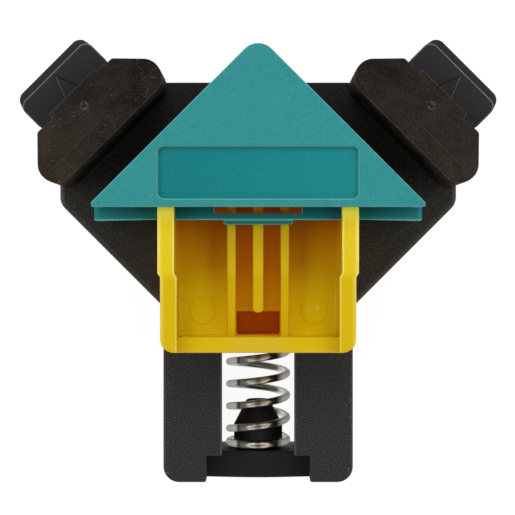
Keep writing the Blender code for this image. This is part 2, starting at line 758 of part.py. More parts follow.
def build_wedge_screws(carriage, material):
    head_z = TRAY_FLOOR_Z + TOUCH_GAP
    length = TRAY_FLOOR + SCREW_BITE
    for side, name in ((1, "wedge_screw_right"), (-1, "wedge_screw_left")):
        base = (side * WEDGE_SCREW_X, WEDGE_SCREW_Y, head_z)
        item = make_object(name, screw(base, length), carriage, material)
        shade_round(item)


def build_spring(datum, material):
    """Right-handed coil along Y, closed at both ends. Angle 0 is its left side, 90 its top."""
    start = SEAT_Y + TOUCH_GAP + WIRE_RADIUS
    end = BLOCK_FRONT_Y - TOUCH_GAP - WIRE_RADIUS
    closed_rise = 2.05 * WIRE_RADIUS * SPRING_CLOSED_TURNS
    pitch = (end - start - 2 * closed_rise) / SPRING_OPEN_TURNS
    total = SPRING_OPEN_TURNS + 2 * SPRING_CLOSED_TURNS

    def rise(turns):
        if turns < SPRING_CLOSED_TURNS:
            return closed_rise * turns / SPRING_CLOSED_TURNS
        if turns < SPRING_CLOSED_TURNS + SPRING_OPEN_TURNS:
            return closed_rise + pitch * (turns - SPRING_CLOSED_TURNS)
        return end - start - closed_rise * (total - turns) / SPRING_CLOSED_TURNS

    def centre(turns):
        angle = math.tau * (turns + SPRING_FIRST_TURN)
        x = -SPRING_RADIUS * math.cos(angle)
        z = SPRING_AXIS_Z + SPRING_RADIUS * math.sin(angle)
        return Vector((x, start + rise(turns), z))

    steps = round(total * SPRING_STEPS)
    rings = []
    for step in range(steps + 1):
        turns = total * step / steps
        middle = centre(turns)
        ahead = (centre(min(total, turns + 0.005)) - centre(max(0.0, turns - 0.005))).normalized()
        outward = Vector((middle.x, 0.0, middle.z - SPRING_AXIS_Z)).normalized()
        third = ahead.cross(outward).normalized()
        ring = []
        for index in range(SPRING_SIDES):
            angle = math.tau * index / SPRING_SIDES
            ring.append(middle + WIRE_RADIUS * (math.cos(angle) * outward + math.sin(angle) * third))
        rings.append(ring)
    spring = make_object("compression_spring", loft(bmesh.new(), rings), datum, material)
    shade_round(spring, 60.0)


def build_cone(datum, cone_material, screw_material):
    base = (0.0, SEAT_Y + TOUCH_GAP, SPRING_AXIS_Z)
    profile = [
        (CONE_RADIUS, 0.0),
        (CONE_RADIUS, CONE_STRAIGHT),
        (CONE_TIP_RADIUS, CONE_LENGTH),
    ]
    cone = make_object("spring_cone", turned(profile, base, "Y", sides=32), datum, cone_material)
    shade_round(cone)
    bore = SCREW_RADIUS + TOUCH_GAP
    hole = turned([(bore, -CUT_MARGIN), (bore, SCREW_BITE)], base, "Y")
    hole = make_object("cone_hole_cutter", hole, datum)
    combine(cone, hole, "DIFFERENCE")
    head_y = LEG_END_Y + CONE_SCREW_SINK - TOUCH_GAP - SCREW_HEAD
    length = SEAT_Y + SCREW_BITE - TOUCH_GAP - head_y
    item = make_object(
        "spring_cone_screw",
        screw((0.0, head_y, SPRING_AXIS_Z), length, "Y"),
        datum,
        screw_material,
    )
    shade_round(item)


def build_post(datum, side, name, post_material, screw_material):
    """Stop behind the shoe: upright in front, sloping behind, with an arrow's flat on top."""
    top_z = POST_BOTTOM_Z + POST_HEIGHT
    half = ARM_HALF_WIDTH - TOUCH_GAP / 3
    top_back = POST_BACK_OUT - POST_SLOPE

    def ring(back, height, inward=0.0):
        corners = rounded([
            (-half + inward, POST_FRONT_OUT + inward, POST_FRONT_RADIUS),
            (half - inward, POST_FRONT_OUT + inward, POST_FRONT_RADIUS),
            (half - inward, back - inward, ARM_CORNER_RADIUS),
            (-half + inward, back - inward, ARM_CORNER_RADIUS),
        ])
        points = []
        for across, out in corners:
            place = jaw_point(side, ARM_SHIFT + across, out)
            points.append((place.x, place.y, height))
        return points

    rings = [
        ring(POST_BACK_OUT, POST_BOTTOM_Z),
        ring(top_back, top_z - BASE_EDGE),
        ring(top_back, top_z, BASE_EDGE),
    ]
    post = make_object(name + "_jaw_post", loft(bmesh.new(), rings), datum, post_material)
    x, y = jaw_point(side, ARM_SHIFT, POST_SCREW_OUT)
    bore = SCREW_RADIUS + TOUCH_GAP
    bite_top = POST_BOTTOM_Z + SCREW_BITE
    hole = turned([(bore, POST_BOTTOM_Z - CUT_MARGIN), (bore, bite_top + TOUCH_GAP)], (x, y, 0.0))
    hole = make_object(name + "_post_cutter", hole, datum)
    combine(post, hole, "DIFFERENCE")
    head_z = POST_SCREW_SINK - TOUCH_GAP - SCREW_HEAD
    item = make_object(
        name + "_post_screw",
        screw((x, y, head_z), bite_top - head_z),
        datum,
        screw_material,
    )
    shade_round(item)


def build_pin(datum, side, name, material):
    x, y = jaw_point(side, ARM_SHIFT, PIVOT_OUT)
    bottom = BASE_HEIGHT - PIN_SINK + TOUCH_GAP
    top = SHOE_TOP_Z - PIN_CAP - TOUCH_GAP
    profile = [
        (PIN_RADIUS - TOUCH_GAP, bottom),
        (PIN_RADIUS, bottom + TOUCH_GAP),
        (PIN_RADIUS, top - TOUCH_GAP),
        (PIN_RADIUS - TOUCH_GAP, top),
    ]
    pin = make_object(name + "_pivot_pin", turned(profile, (x, y, 0.0)), datum, material)
    shade_round(pin, 50.0)


def build_shoe(datum, side, name, shoe_material, rubber_material):
    """Shoe and facing, drawn about the pivot: X across the jaw, Y out from the datum."""
    x, y = jaw_point(side, ARM_SHIFT, PIVOT_OUT)
    pivot = make_empty(name + "_pivot", (x, y, 0.0), datum, -side * math.radians(45.0))
    face = -PIVOT_FROM_FACE
    back = face + SHOE_DEPTH
    split = face + FACING_DEPTH
    front = split + TOUCH_GAP
    outline = rounded(mirrored([
        (SHOE_HALF_WIDTH, front, 0.0),
        (SHOE_HALF_WIDTH, face + SHOE_CHAMFER_START, SHOE_SIDE_RADIUS),
        (SHOE_BACK_HALF_WIDTH, back, SHOE_BACK_RADIUS),
    ]))
    shoe = make_object(
        name + "_swivel_shoe",
        prism(outline, SHOE_BOTTOM_Z, SHOE_TOP_Z, BASE_EDGE / 2),
        pivot,
        shoe_material,
    )
    tab = block(
        (-SHOE_TAB_HALF_WIDTH, back - SHOE_BACK_RADIUS, SHOE_TOP_Z - SHOE_TAB_HEIGHT),
        (SHOE_TAB_HALF_WIDTH, back + SHOE_TAB_REACH, SHOE_TOP_Z - BASE_EDGE),
    )
    tab = make_object(name + "_shoe_tab_tool", tab, pivot)
    combine(shoe, tab, "UNION")
    key = FACING_KEY_HALF_WIDTH
    key_low = SHOE_BOTTOM_Z + FACING_KEY_INSET
    key_high = SHOE_TOP_Z - FACING_KEY_INSET
    groove = block(
        (-key - TOUCH_GAP, split - CUT_MARGIN, key_low - TOUCH_GAP),
        (key + TOUCH_GAP, split + FACING_KEY_DEPTH + TOUCH_GAP, key_high + TOUCH_GAP),
    )
    bore = PIN_RADIUS + TOUCH_GAP
    turned(
        [(bore, SHOE_BOTTOM_Z - CUT_MARGIN), (bore, SHOE_TOP_Z - PIN_CAP)],
        (0.0, 0.0, 0.0),
        builder=groove,
    )
    groove = make_object(name + "_shoe_cutter", groove, pivot)
    combine(shoe, groove, "DIFFERENCE")

    outline = rounded([
        (-SHOE_HALF_WIDTH, face, SHOE_NOSE_RADIUS),
        (SHOE_HALF_WIDTH, face, SHOE_NOSE_RADIUS),
        (SHOE_HALF_WIDTH, split, 0.0),
        (-SHOE_HALF_WIDTH, split, 0.0),
    ])
    facing = make_object(
        name + "_rubber_facing",
        prism(outline, SHOE_BOTTOM_Z, SHOE_TOP_Z, BASE_EDGE / 2),
        pivot,
        rubber_material,
    )
    tongue = block((-key, split - CUT_MARGIN, key_low), (key, split + FACING_KEY_DEPTH, key_high))
    tongue = make_object(name + "_facing_key_tool", tongue, pivot)
    combine(facing, tongue, "UNION")


def main():
    remove_scene_objects()
    black = make_material("black_nylon", (0.026, 0.024, 0.024), 0.62)
    teal = make_material("teal_nylon", (0.052, 0.315, 0.296), 0.45)
    yellow = make_material("yellow_nylon", (0.730, 0.552, 0.018), 0.42)
    grey = make_material("grey_nylon", (0.032, 0.032, 0.037), 0.50)
    shoe = make_material("brown_rubber", (0.028, 0.021, 0.018), 0.66)
    rubber = make_material("facing_rubber", (0.026, 0.020, 0.017), 0.72)
    spring_steel = make_material("spring_steel", (0.620, 0.600, 0.570), 0.22, 1.0)
    zinc_steel = make_material("zinc_steel", (0.560, 0.560, 0.540), 0.35, 1.0)

    datum = make_empty("clamp_datum", (0.0, datum_y(), 0.0))
    carriage = make_empty("carriage_axis", (0.0, 0.0, 0.0), datum)
    build_base(datum, black)
    build_spring(datum, spring_steel)
    build_cone(datum, black, zinc_steel)
    for side, name in ((1, "right"), (-1, "left")):
        build_post(datum, side, name, grey, zinc_steel)
        build_pin(datum, side, name, zinc_steel)
        build_shoe(datum, side, name, shoe, rubber)
    build_wedge(carriage, teal)
    build_tray(carriage, yellow)
    build_keeper(carriage, zinc_steel, zinc_steel)
    build_wedge_screws(carriage, zinc_steel)


main()
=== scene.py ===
"""Dresses the corner clamp's frame: finer shapes, finishes, light and the view from above.

Lengths are metres in the frame's own axes. Plans are measured from the datum, the point that the
normals of both jaws start from, which lies DATUM_Y behind the frame's origin.
"""

import math

import bpy
import numpy as np
from mathutils import Matrix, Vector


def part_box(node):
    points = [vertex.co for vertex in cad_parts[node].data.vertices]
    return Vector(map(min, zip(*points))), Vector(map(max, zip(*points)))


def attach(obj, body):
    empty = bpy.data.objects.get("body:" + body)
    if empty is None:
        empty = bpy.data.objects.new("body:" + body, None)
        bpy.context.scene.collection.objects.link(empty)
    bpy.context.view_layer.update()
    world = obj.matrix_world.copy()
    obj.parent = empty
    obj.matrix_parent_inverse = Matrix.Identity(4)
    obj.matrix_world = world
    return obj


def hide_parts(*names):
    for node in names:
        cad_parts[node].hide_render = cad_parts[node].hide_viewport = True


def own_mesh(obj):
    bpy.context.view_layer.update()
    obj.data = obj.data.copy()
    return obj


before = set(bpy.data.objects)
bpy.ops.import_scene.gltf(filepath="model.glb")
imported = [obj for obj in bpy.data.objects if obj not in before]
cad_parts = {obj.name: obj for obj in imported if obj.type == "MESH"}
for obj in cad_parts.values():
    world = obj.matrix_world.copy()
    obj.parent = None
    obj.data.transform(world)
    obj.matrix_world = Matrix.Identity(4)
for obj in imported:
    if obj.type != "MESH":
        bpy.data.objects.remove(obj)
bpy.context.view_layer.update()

# Base frame
BASE_TOP = 0.0300
CEILING = 0.0270
BASE_WALL = 0.0030
BASE_RIB = 0.0020
RIB_LIFT = 0.00004
BASE_EDGE = 0.0005
BASE_HALF = 0.0629
BASE_BACK = 0.0556
BASE_CORNER = 0.0050
CHEEK = 0.0458
LEG_OUTER = 0.0301
LEG_END = -0.0714
SEAT = -0.0627
CROSSBAR_TOP = 0.0218
CROSSBAR_HALF = 0.0175
CROSSBAR_BOW = 0.35
NOTCH_HALF = 0.0165
NOTCH_BACK = -0.0630
SLOT_HALF = 0.01145
SLOT_BACK = 0.0210
SLOT_DRAFT = 0.0009
SLOT_CORNER = 0.0007
BAY_FRONT = -0.0260
GUIDE = 0.01555
ARM_SHIFT = -0.0046
ARM_HALF = 0.0142
ARM_REACH = 0.08989
ARM_CORNER = 0.0028
DATUM_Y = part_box("base_frame")[0].y - LEG_END

# Ribs of the underside. Rows: outer end, start; side, start, end; both ends along an arm
LEG_RIB = -0.04535
CROSS_RIBS = ((0.0348, -0.00968), (0.0510, 0.00664), (0.0615, 0.02296), (0.0640, 0.03928))
LONG_RIBS = ((0.0327, -0.0104, BASE_BACK - 0.0015), (0.04785, 0.0046, 0.0600))
ARM_RIBS = ((0.0735, 0.0755), (0.0845, 0.0885))
ARM_BOSS = 0.0050
POST_SCREW = 0.0800
SCREW_BORE = 0.0017
SCREW_SINK = 0.0030
SCREW_SEAT = 0.0180

# Wedge
WEDGE_BOTTOM = 0.0304
WEDGE_TOP = 0.0520
WEDGE_APEX = 0.066822
WEDGE_HALF = 0.0502
WEDGE_CORNER = WEDGE_APEX - WEDGE_HALF
WEDGE_FRONT = WEDGE_CORNER - 0.0014
LEDGE = WEDGE_FRONT - 0.0037
WEDGE_WALL = 0.0030
APEX_RADIUS = 0.0057
WEDGE_ROUND = 0.0006
PLATE_BOTTOM = 0.0490
SHELF_BOTTOM = 0.0420
SHELF_TOP = 0.0440
WINDOW_HALF = 0.01345
WINDOW_FRONT = LEDGE + 0.0020
WINDOW_BACK = 0.0303
RECESS_HALF = 0.0303
RECESS_FRONT = WEDGE_FRONT + 0.0023
RECESS_BACK = RECESS_FRONT + 0.0159
RECESS_DEPTH = 0.0010
TAB_HALF = 0.0106
TAB_FRONT = LEDGE - 0.0014
TAB_BOTTOM = 0.0398
BOSS = 0.0040
BOSS_BOTTOM = 0.0338
BOSS_X = 0.0200
BOSS_Y = 0.0220
WING_REACH = 0.0647

# Tray
TRAY_BOTTOM = 0.0303
TRAY_FLOOR = 0.0335
TRAY_RIB_TOP = 0.0395
TRAY_END_TOP = 0.0450
TRAY_WALL_TOP = 0.0485
TRAY_END = -0.0289
TRAY_END_INNER = -0.0244
TRAY_BACK = 0.0300
TRAY_OUTER = 0.03055
TRAY_INNER = 0.0255
TRAY_STEP = 0.0008
STEP_START = -0.0060
STEP_END = -0.0048
RIB_INNER = 0.0070
RIB_OUTER = 0.0096
CENTRE_RIB_HALF = 0.0016
POCKET_HALF = 0.0069
POCKET_BACK = -0.0170
POCKET_FLOOR = 0.0215
KEEL_HALF = 0.0109
KEEL_BACK = 0.0207
KEEL_BOTTOM = 0.0267
BLOCK_FRONT = -0.0270
BLOCK_BACK = -0.0090
BLOCK_BOTTOM = 0.0025
MARK_X = 0.0175
MARK_Y = -0.0168
MARK_RADIUS = 0.0041
DENTS = ((0.01590, 0.0006), (0.01870, 0.0009))
FILLET = 0.0007
SPIGOT = 0.0078

# Posts and shoes, measured outwards along the normal of a jaw face
POST_BOTTOM = 0.0303
POST_TOP = 0.0460
POST_FRONT = 0.0747
POST_FOOT = 0.0896
POST_BACK = 0.0841
POST_HALF = 0.0144
ARROW_TIP = 0.0828
ARROW_SLOPE = math.tan(math.radians(22.4))
SHOE_BOTTOM = 0.0305
SHOE_TOP = 0.0520
FACE = 0.0570
FACING = 0.00565
SEAM = 0.0003
SEAM_STEP = 0.00004
SHOE_DEPTH = 0.0164
SHOE_HALF = 0.0240
SHOE_BACK_HALF = 0.0158
NOSE = 0.0056
CHAMFER = 0.0080
SHOE_TAB_HALF = 0.00955
SHOE_TAB_REACH = 0.0178
SHOE_TAB_BOTTOM = 0.0465
PIVOT = 0.0691

# Spring and cone
WIRE = 0.0012
COIL = 0.0095
SPRING_AXIS = 0.0115
SPRING_BACK = -0.0284
CLOSED_RISE = 0.002255
OPEN_TURNS = 3.86
FIRST_TURN = -0.333
TURN_LENGTH = 0.0600
WIRE_END = 0.00035
COLLAR = 0.0080
COLLAR_LENGTH = 0.0072
CONE_TIP = 0.0033
CONE_LENGTH = 0.0157

# Marks of the coil's front: how many turns from its start, and where the wire then lies
SPRING_CLIMB = (
    (0.0, -0.0613),
    (0.333, -0.0608),
    (0.583, -0.0610),
    (0.833, -0.0604),
    (1.083, -0.0587),
    (1.333, -0.0566),
)

# Camera and lamps
SENSOR = 36.0
FOCAL_PIXELS = 1260
PICTURE_PIXELS = 515
CAMERA_X = -0.0002
CAMERA_HEIGHT = 0.430
LAMP_AIM = (0, 0, 0.03)

# Room that a flat face keeps from the round that ends it, so that both shade well
HOLD = 0.00008
# How far a piece runs into its neighbour, and the least step between two faces
BITE = 0.0001
HAIR = 0.00001
DIAGONAL = math.sqrt(0.5)


def unit(vectors):
    return vectors / np.linalg.norm(vectors, axis=-1, keepdims=True)


def outline(corners, step=math.radians(9)):
    """Closed path round rows of x, y and radius, where a corner is the arc that touches its sides.

    The points of an arc are its centre plus its first spoke, turned through equal steps.
    """
    corners = np.asarray(corners, float)
    here = corners[:, :2]
    into = unit(here - np.roll(here, 1, 0))
    away = np.roll(into, -1, 0)
    arcs = []
    for point, a, b, radius in zip(here, into, away, corners[:, 2]):
        turn = math.atan2(a[0] * b[1] - a[1] * b[0], a @ b)
        left = math.copysign(1.0, turn) * np.array((-a[1], a[0]))
        spoke = -left * radius
        centre = point - a * radius * math.tan(abs(turn) / 2) - spoke
        chords = max(1, round(abs(turn) / step)) if radius > 0 else 0
        angle = turn * np.linspace(0, 1, 1 + chords)
        cos, sin = np.cos(angle), np.sin(angle)
        across, climb = cos * spoke[0] - sin * spoke[1], sin * spoke[0] + cos * spoke[1]
        arcs.append(centre + np.stack((across, climb), 1))
    return np.concatenate(arcs)


def mirrored(corners):
    """Corners of a symmetric plate from its right half, listed anticlockwise."""
    corners = np.asarray(corners, float)
    left = corners[corners[:, 0] > 0][::-1] * (-1, 1, 1)
    return np.concatenate((corners, left))


def box(x0, x1, y0, y1, radius=0.0):
    return outline([(x0, y0, radius), (x1, y0, radius), (x1, y1, radius), (x0, y1, radius)])


def handed(hand, rows):
    """Outline from rows of x, y and radius on the right, or mirrored to the left for hand -1."""
    return outline([(hand * x, y, radius) for x, y, radius in rows[::hand]])


def jaw(side, rows):
    """Outline from rows of across, out and radius.

    x = side (out - across) / sqrt 2 and y = (out + across) / sqrt 2.
    """
    across, out, radius = np.asarray(rows, float).T
    plan = np.stack((side * (out - across) * DIAGONAL, (out + across) * DIAGONAL, radius), 1)
    return outline(plan[::-side])


def inward(path):
    """Move of each point that shifts both of its sides inwards by one: (a + b) / (1 + a.b)."""
    along = unit(np.roll(path, -1, 0) - path)
    after = np.stack((-along[:, 1], along[:, 0]), 1)
    before = np.roll(after, 1, 0)
    return (before + after) / (1 + (before * after).sum(1, keepdims=True))


def shrunk(corners, wall):
    """Corners one wall further in: an arc that turns left gets tighter, one that turns right wider."""
    plan = corners[:, :2] + wall * inward(corners[:, :2])
    after = np.roll(plan, -1, 0) - plan
    before = np.roll(after, 1, 0)
    left = before[:, 0] * after[:, 1] > before[:, 1] * after[:, 0]
    radius = np.maximum(corners[:, 2] + np.where(left, -wall, wall), 0.00005)
    return np.column_stack((plan, np.where(corners[:, 2] > 0, radius, 0)))


def sweep(path, section):
    """Grid (k, i): point i of the path moved inwards by inset k of the section, at height k."""
    section = np.asarray(section, float)
    flat = path[None] + section[:, 0, None, None] * inward(path)[None]
    level = np.broadcast_to(section[:, 1, None, None], flat.shape[:2] + (1,))
    return np.concatenate((flat, level), 2)


def quarter(start, end, turned=False, steps=4):
    """Quarter ellipse between two section points; it leaves the first one upright, or level."""
    angle = np.linspace(0, math.pi / 2, steps + 1)
    start, end = np.asarray(start, float), np.asarray(end, float)
    across, climb = 1 - np.cos(angle), np.sin(angle)
    share = np.stack((climb, across) if turned else (across, climb), 1)
    return start + (end - start) * share


def side(bottom, top, edge=0.0004, foot=0.0002):
    """Section of a plate's side, climbing, with a quarter round at the foot and one at the edge."""
    low, high = [[(0, bottom)]], [[(0, top)]]
    if foot:
        low = [[(foot + HOLD, bottom)], quarter((foot, bottom), (0, bottom + foot), True)]
    if edge:
        high = [quarter((0, top - edge), (edge, top)), [(edge + HOLD, top)]]
    return np.concatenate(low + high)


def skin(grid, joined=False):
    """Points, face corners and face sizes of the skin over a grid whose rows are closed rings.

    The first and the last row get a flat face each, unless they are joined to each other.
    """
    rows, sides = grid.shape[:2]
    index = np.arange(rows * sides).reshape(rows, sides)
    low = index if joined else index[:-1]
    high = np.roll(index, -1, 0) if joined else index[1:]
    quads = np.stack((low, np.roll(low, -1, 1), np.roll(high, -1, 1), high), -1).reshape(-1, 4)
    corners, sizes = [quads.ravel()], [np.full(len(quads), 4)]
    if not joined:
        corners += [index[0, ::-1], index[-1]]
        sizes.append(np.array((sides, sides)))
    return grid.reshape(-1, 3), np.concatenate(corners), np.concatenate(sizes)


def slab(path, bottom, top, edge=0.0004, foot=0.0002):
    return skin(sweep(path, side(bottom, top, edge, foot)))


def turned(profile, centre, axis="Z", sides=48, joined=False):
    """Round solid: rows of radius and height swept round an axis through the centre."""
    radius, height = np.asarray(profile, float).T[:, :, None]
    angle = np.linspace(0, 2 * math.pi, sides, endpoint=False)[None]
    cos, sin, climb = radius * np.cos(angle), radius * np.sin(angle), height + 0 * angle
    grid = np.stack((cos, sin, climb) if axis == "Z" else (cos, climb, -sin), -1)
    return skin(grid + np.asarray(centre, float), joined)


def straight_out(path, centre, angle):
    """Point of a path at each bearing from a centre: the ray cut with the sides that it meets."""
    here = (path - centre)[None]
    along = np.roll(here, -1, 1) - here
    ray = np.stack((np.cos(angle), np.sin(angle)), 1)[:, None]

    def cross(a, b):
        return a[..., 0] * b[..., 1] - a[..., 1] * b[..., 0]

    slope = cross(ray, along)
    slope = np.where(np.abs(slope) < 1e-12, 1e-12, slope)
    share, reach = cross(here, ray) / slope, cross(here, along) / slope
    met = (share > -1e-6) & (share < 1 + 1e-6) & (reach > 0)
    return centre + ray[:, 0] * np.where(met, reach, np.inf).min(1)[:, None]


def placed(name, data):
    item = bpy.data.objects.new(name, data)
    bpy.context.scene.collection.objects.link(item)
    return item


def piece(name, parts, body, finish, replaces=()):
    """One object made of closed skins, smooth except where its faces meet at more than 32 degrees."""
    counts = np.cumsum([0] + [len(points) for points, _, _ in parts])
    points = np.concatenate([points for points, _, _ in parts]) + (0, DATUM_Y, 0)
    corners = np.concatenate([loop + start for (_, loop, _), start in zip(parts, counts)])
    sizes = np.concatenate([sizes for _, _, sizes in parts])
    mesh = bpy.data.meshes.new(name)
    mesh.vertices.add(len(points))
    mesh.vertices.foreach_set("co", points.ravel())
    mesh.loops.add(len(corners))
    mesh.loops.foreach_set("vertex_index", corners)
    mesh.polygons.add(len(sizes))
    mesh.polygons.foreach_set("loop_start", np.cumsum(sizes) - sizes)
    mesh.polygons.foreach_set("use_smooth", np.ones(len(sizes), bool))
    mesh.update(calc_edges=True)
    mesh.validate()
    mesh.set_sharp_from_angle(angle=math.radians(32))
    mesh.materials.append(finish)
    item = placed(name, mesh)
    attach(item, body)
    if replaces:
        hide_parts(*replaces)
    return item


class Value:
    """A socket of a finish that takes part in arithmetic: each operator adds its Math node."""

    def __init__(self, finish, socket):
        self.finish = finish
        self.socket = socket

    def math(self, operation, *others):
        return self.finish.add("Math", {"operation": operation}, dict(enumerate((self,) + others)))

    def ramp(self, start, end, low=0.0, high=1.0):
        """Smooth climb from low to high while the value goes from start to end."""
        limits = {"Value": self, "From Min": start, "From Max": end, "To Min": low, "To Max": high}
        return self.finish.add("MapRange", {"interpolation_type": "SMOOTHSTEP"}, limits)

    def __add__(self, other):
        return self.math("ADD", other)

    def __sub__(self, other):
        return self.math("SUBTRACT", other)

    def __rsub__(self, other):
        return self.finish.add("Math", {"operation": "SUBTRACT"}, {0: other, 1: self})

    def __mul__(self, other):
        return self.math("MULTIPLY", other)

    def __truediv__(self, other):
        return self.math("DIVIDE", other)

    def __abs__(self):
        return self.math("ABSOLUTE")

    __radd__ = __add__
    __rmul__ = __mul__


class Nodes:
    """A node tree whose nodes are added from expressions."""

    def __init__(self, tree):
        self.tree = tree

    def add(self, kind, settings=None, inputs=None, out=0):
        """Any node: its settings are set first, then each socket gets its value or its link."""
        node = self.tree.nodes.new("ShaderNode" + kind)
        for name, value in (settings or {}).items():
            setattr(node, name, value)
        for name, value in (inputs or {}).items():
            self.feed(node.inputs[name], value)
        return Value(self, node.outputs[out])

    def feed(self, socket, value):
        if isinstance(value, Value):
            self.tree.links.new(value.socket, socket)
        else:
            socket.default_value = value

    def parts(self, vector):
        """The three numbers of a vector."""
        node = self.add("SeparateXYZ", {}, {0: vector}).socket.node
        return [Value(self, socket) for socket in node.outputs]

    def seen_by(self, *rays):
        """1 for a ray of one of the named kinds, otherwise 0."""
        outputs = self.add("LightPath").socket.node.outputs
        return sum(Value(self, outputs[f"Is {ray} Ray"]) for ray in rays).math("MINIMUM", 1.0)


class Finish(Nodes):
    """A procedural material on a Principled shader.

    Where holds x, z, how far the normal points up, y from the datum, and the distance from x = 0.
    """

    def __init__(self, name, **constants):
        self.material = bpy.data.materials.new(name)
        self.material.use_nodes = True
        super().__init__(self.material.node_tree)
        self.shader = self.tree.nodes["Principled BSDF"]
        self.give(**constants)
        self.place = self.add("TexCoord", out="Object")
        x, y, z = self.parts(self.place)
        self.ahead, up = self.parts(self.add("NewGeometry", out="Normal"))[1:]
        self.where = x, z, up, y - DATUM_Y, abs(x)
        self.colour = None

    def give(self, **values):
        """Feeds sockets of the shader, each named with underscores for its spaces."""
        for socket, value in values.items():
            self.feed(self.shader.inputs[socket.replace("_", " ")], value)

    def noise(self, size, detail=3.0, roughness=0.55):
        """Noise from 0 to 1 whose grains are about one size across, in metres."""
        inputs = {"Vector": self.place, "Scale": 1 / size, "Detail": detail, "Roughness": roughness}
        return self.add("TexNoise", {}, inputs)

    def specks(self, size, radius):
        """Scattered round specks: 1 inside the given share of a cell, 0 outside."""
        inputs = {"Vector": self.place, "Scale": 1 / size, "Randomness": 1.0}
        distance = self.add("TexVoronoi", {}, inputs)
        return distance.ramp(radius, radius * 0.6)

    def mix(self, share, first, second):
        """Colour between two colours."""
        tones = [tone if isinstance(tone, Value) else (*tone, 1) for tone in (first, second)]
        return self.add("Mix", {"data_type": "RGBA"}, {"Factor": share, 6: tones[0], 7: tones[1]}, 2)

    def tint(self, share, tone):
        """Moves the finish's colour towards a tone by a share from 0 to 1."""
        self.colour = self.mix(share, self.colour, tone)

    def jaw_place(self):
        """Place along the normal of the nearer jaw face, and across it from the arm's middle."""
        level, aside = self.where[3:]
        out = (aside + level) * DIAGONAL
        across = (level - aside) * DIAGONAL - ARM_SHIFT
        return out, across

    def round_edge(self, start, end):
        """1 on the round between a side and a flat top; it starts where up goes from start to end."""
        up = self.where[2]
        return up.ramp(start, end) * up.ramp(0.985, 0.90)

    def done(self, roughness, height, depth=0.0001):
        """Feeds the shader; the height from 0 to 1 stands for a relief of the given depth."""
        relief = self.add("Bump", {}, {"Strength": 1.0, "Distance": depth, "Height": height})
        self.give(Base_Color=self.colour, Roughness=roughness, Normal=relief)
        return self.material


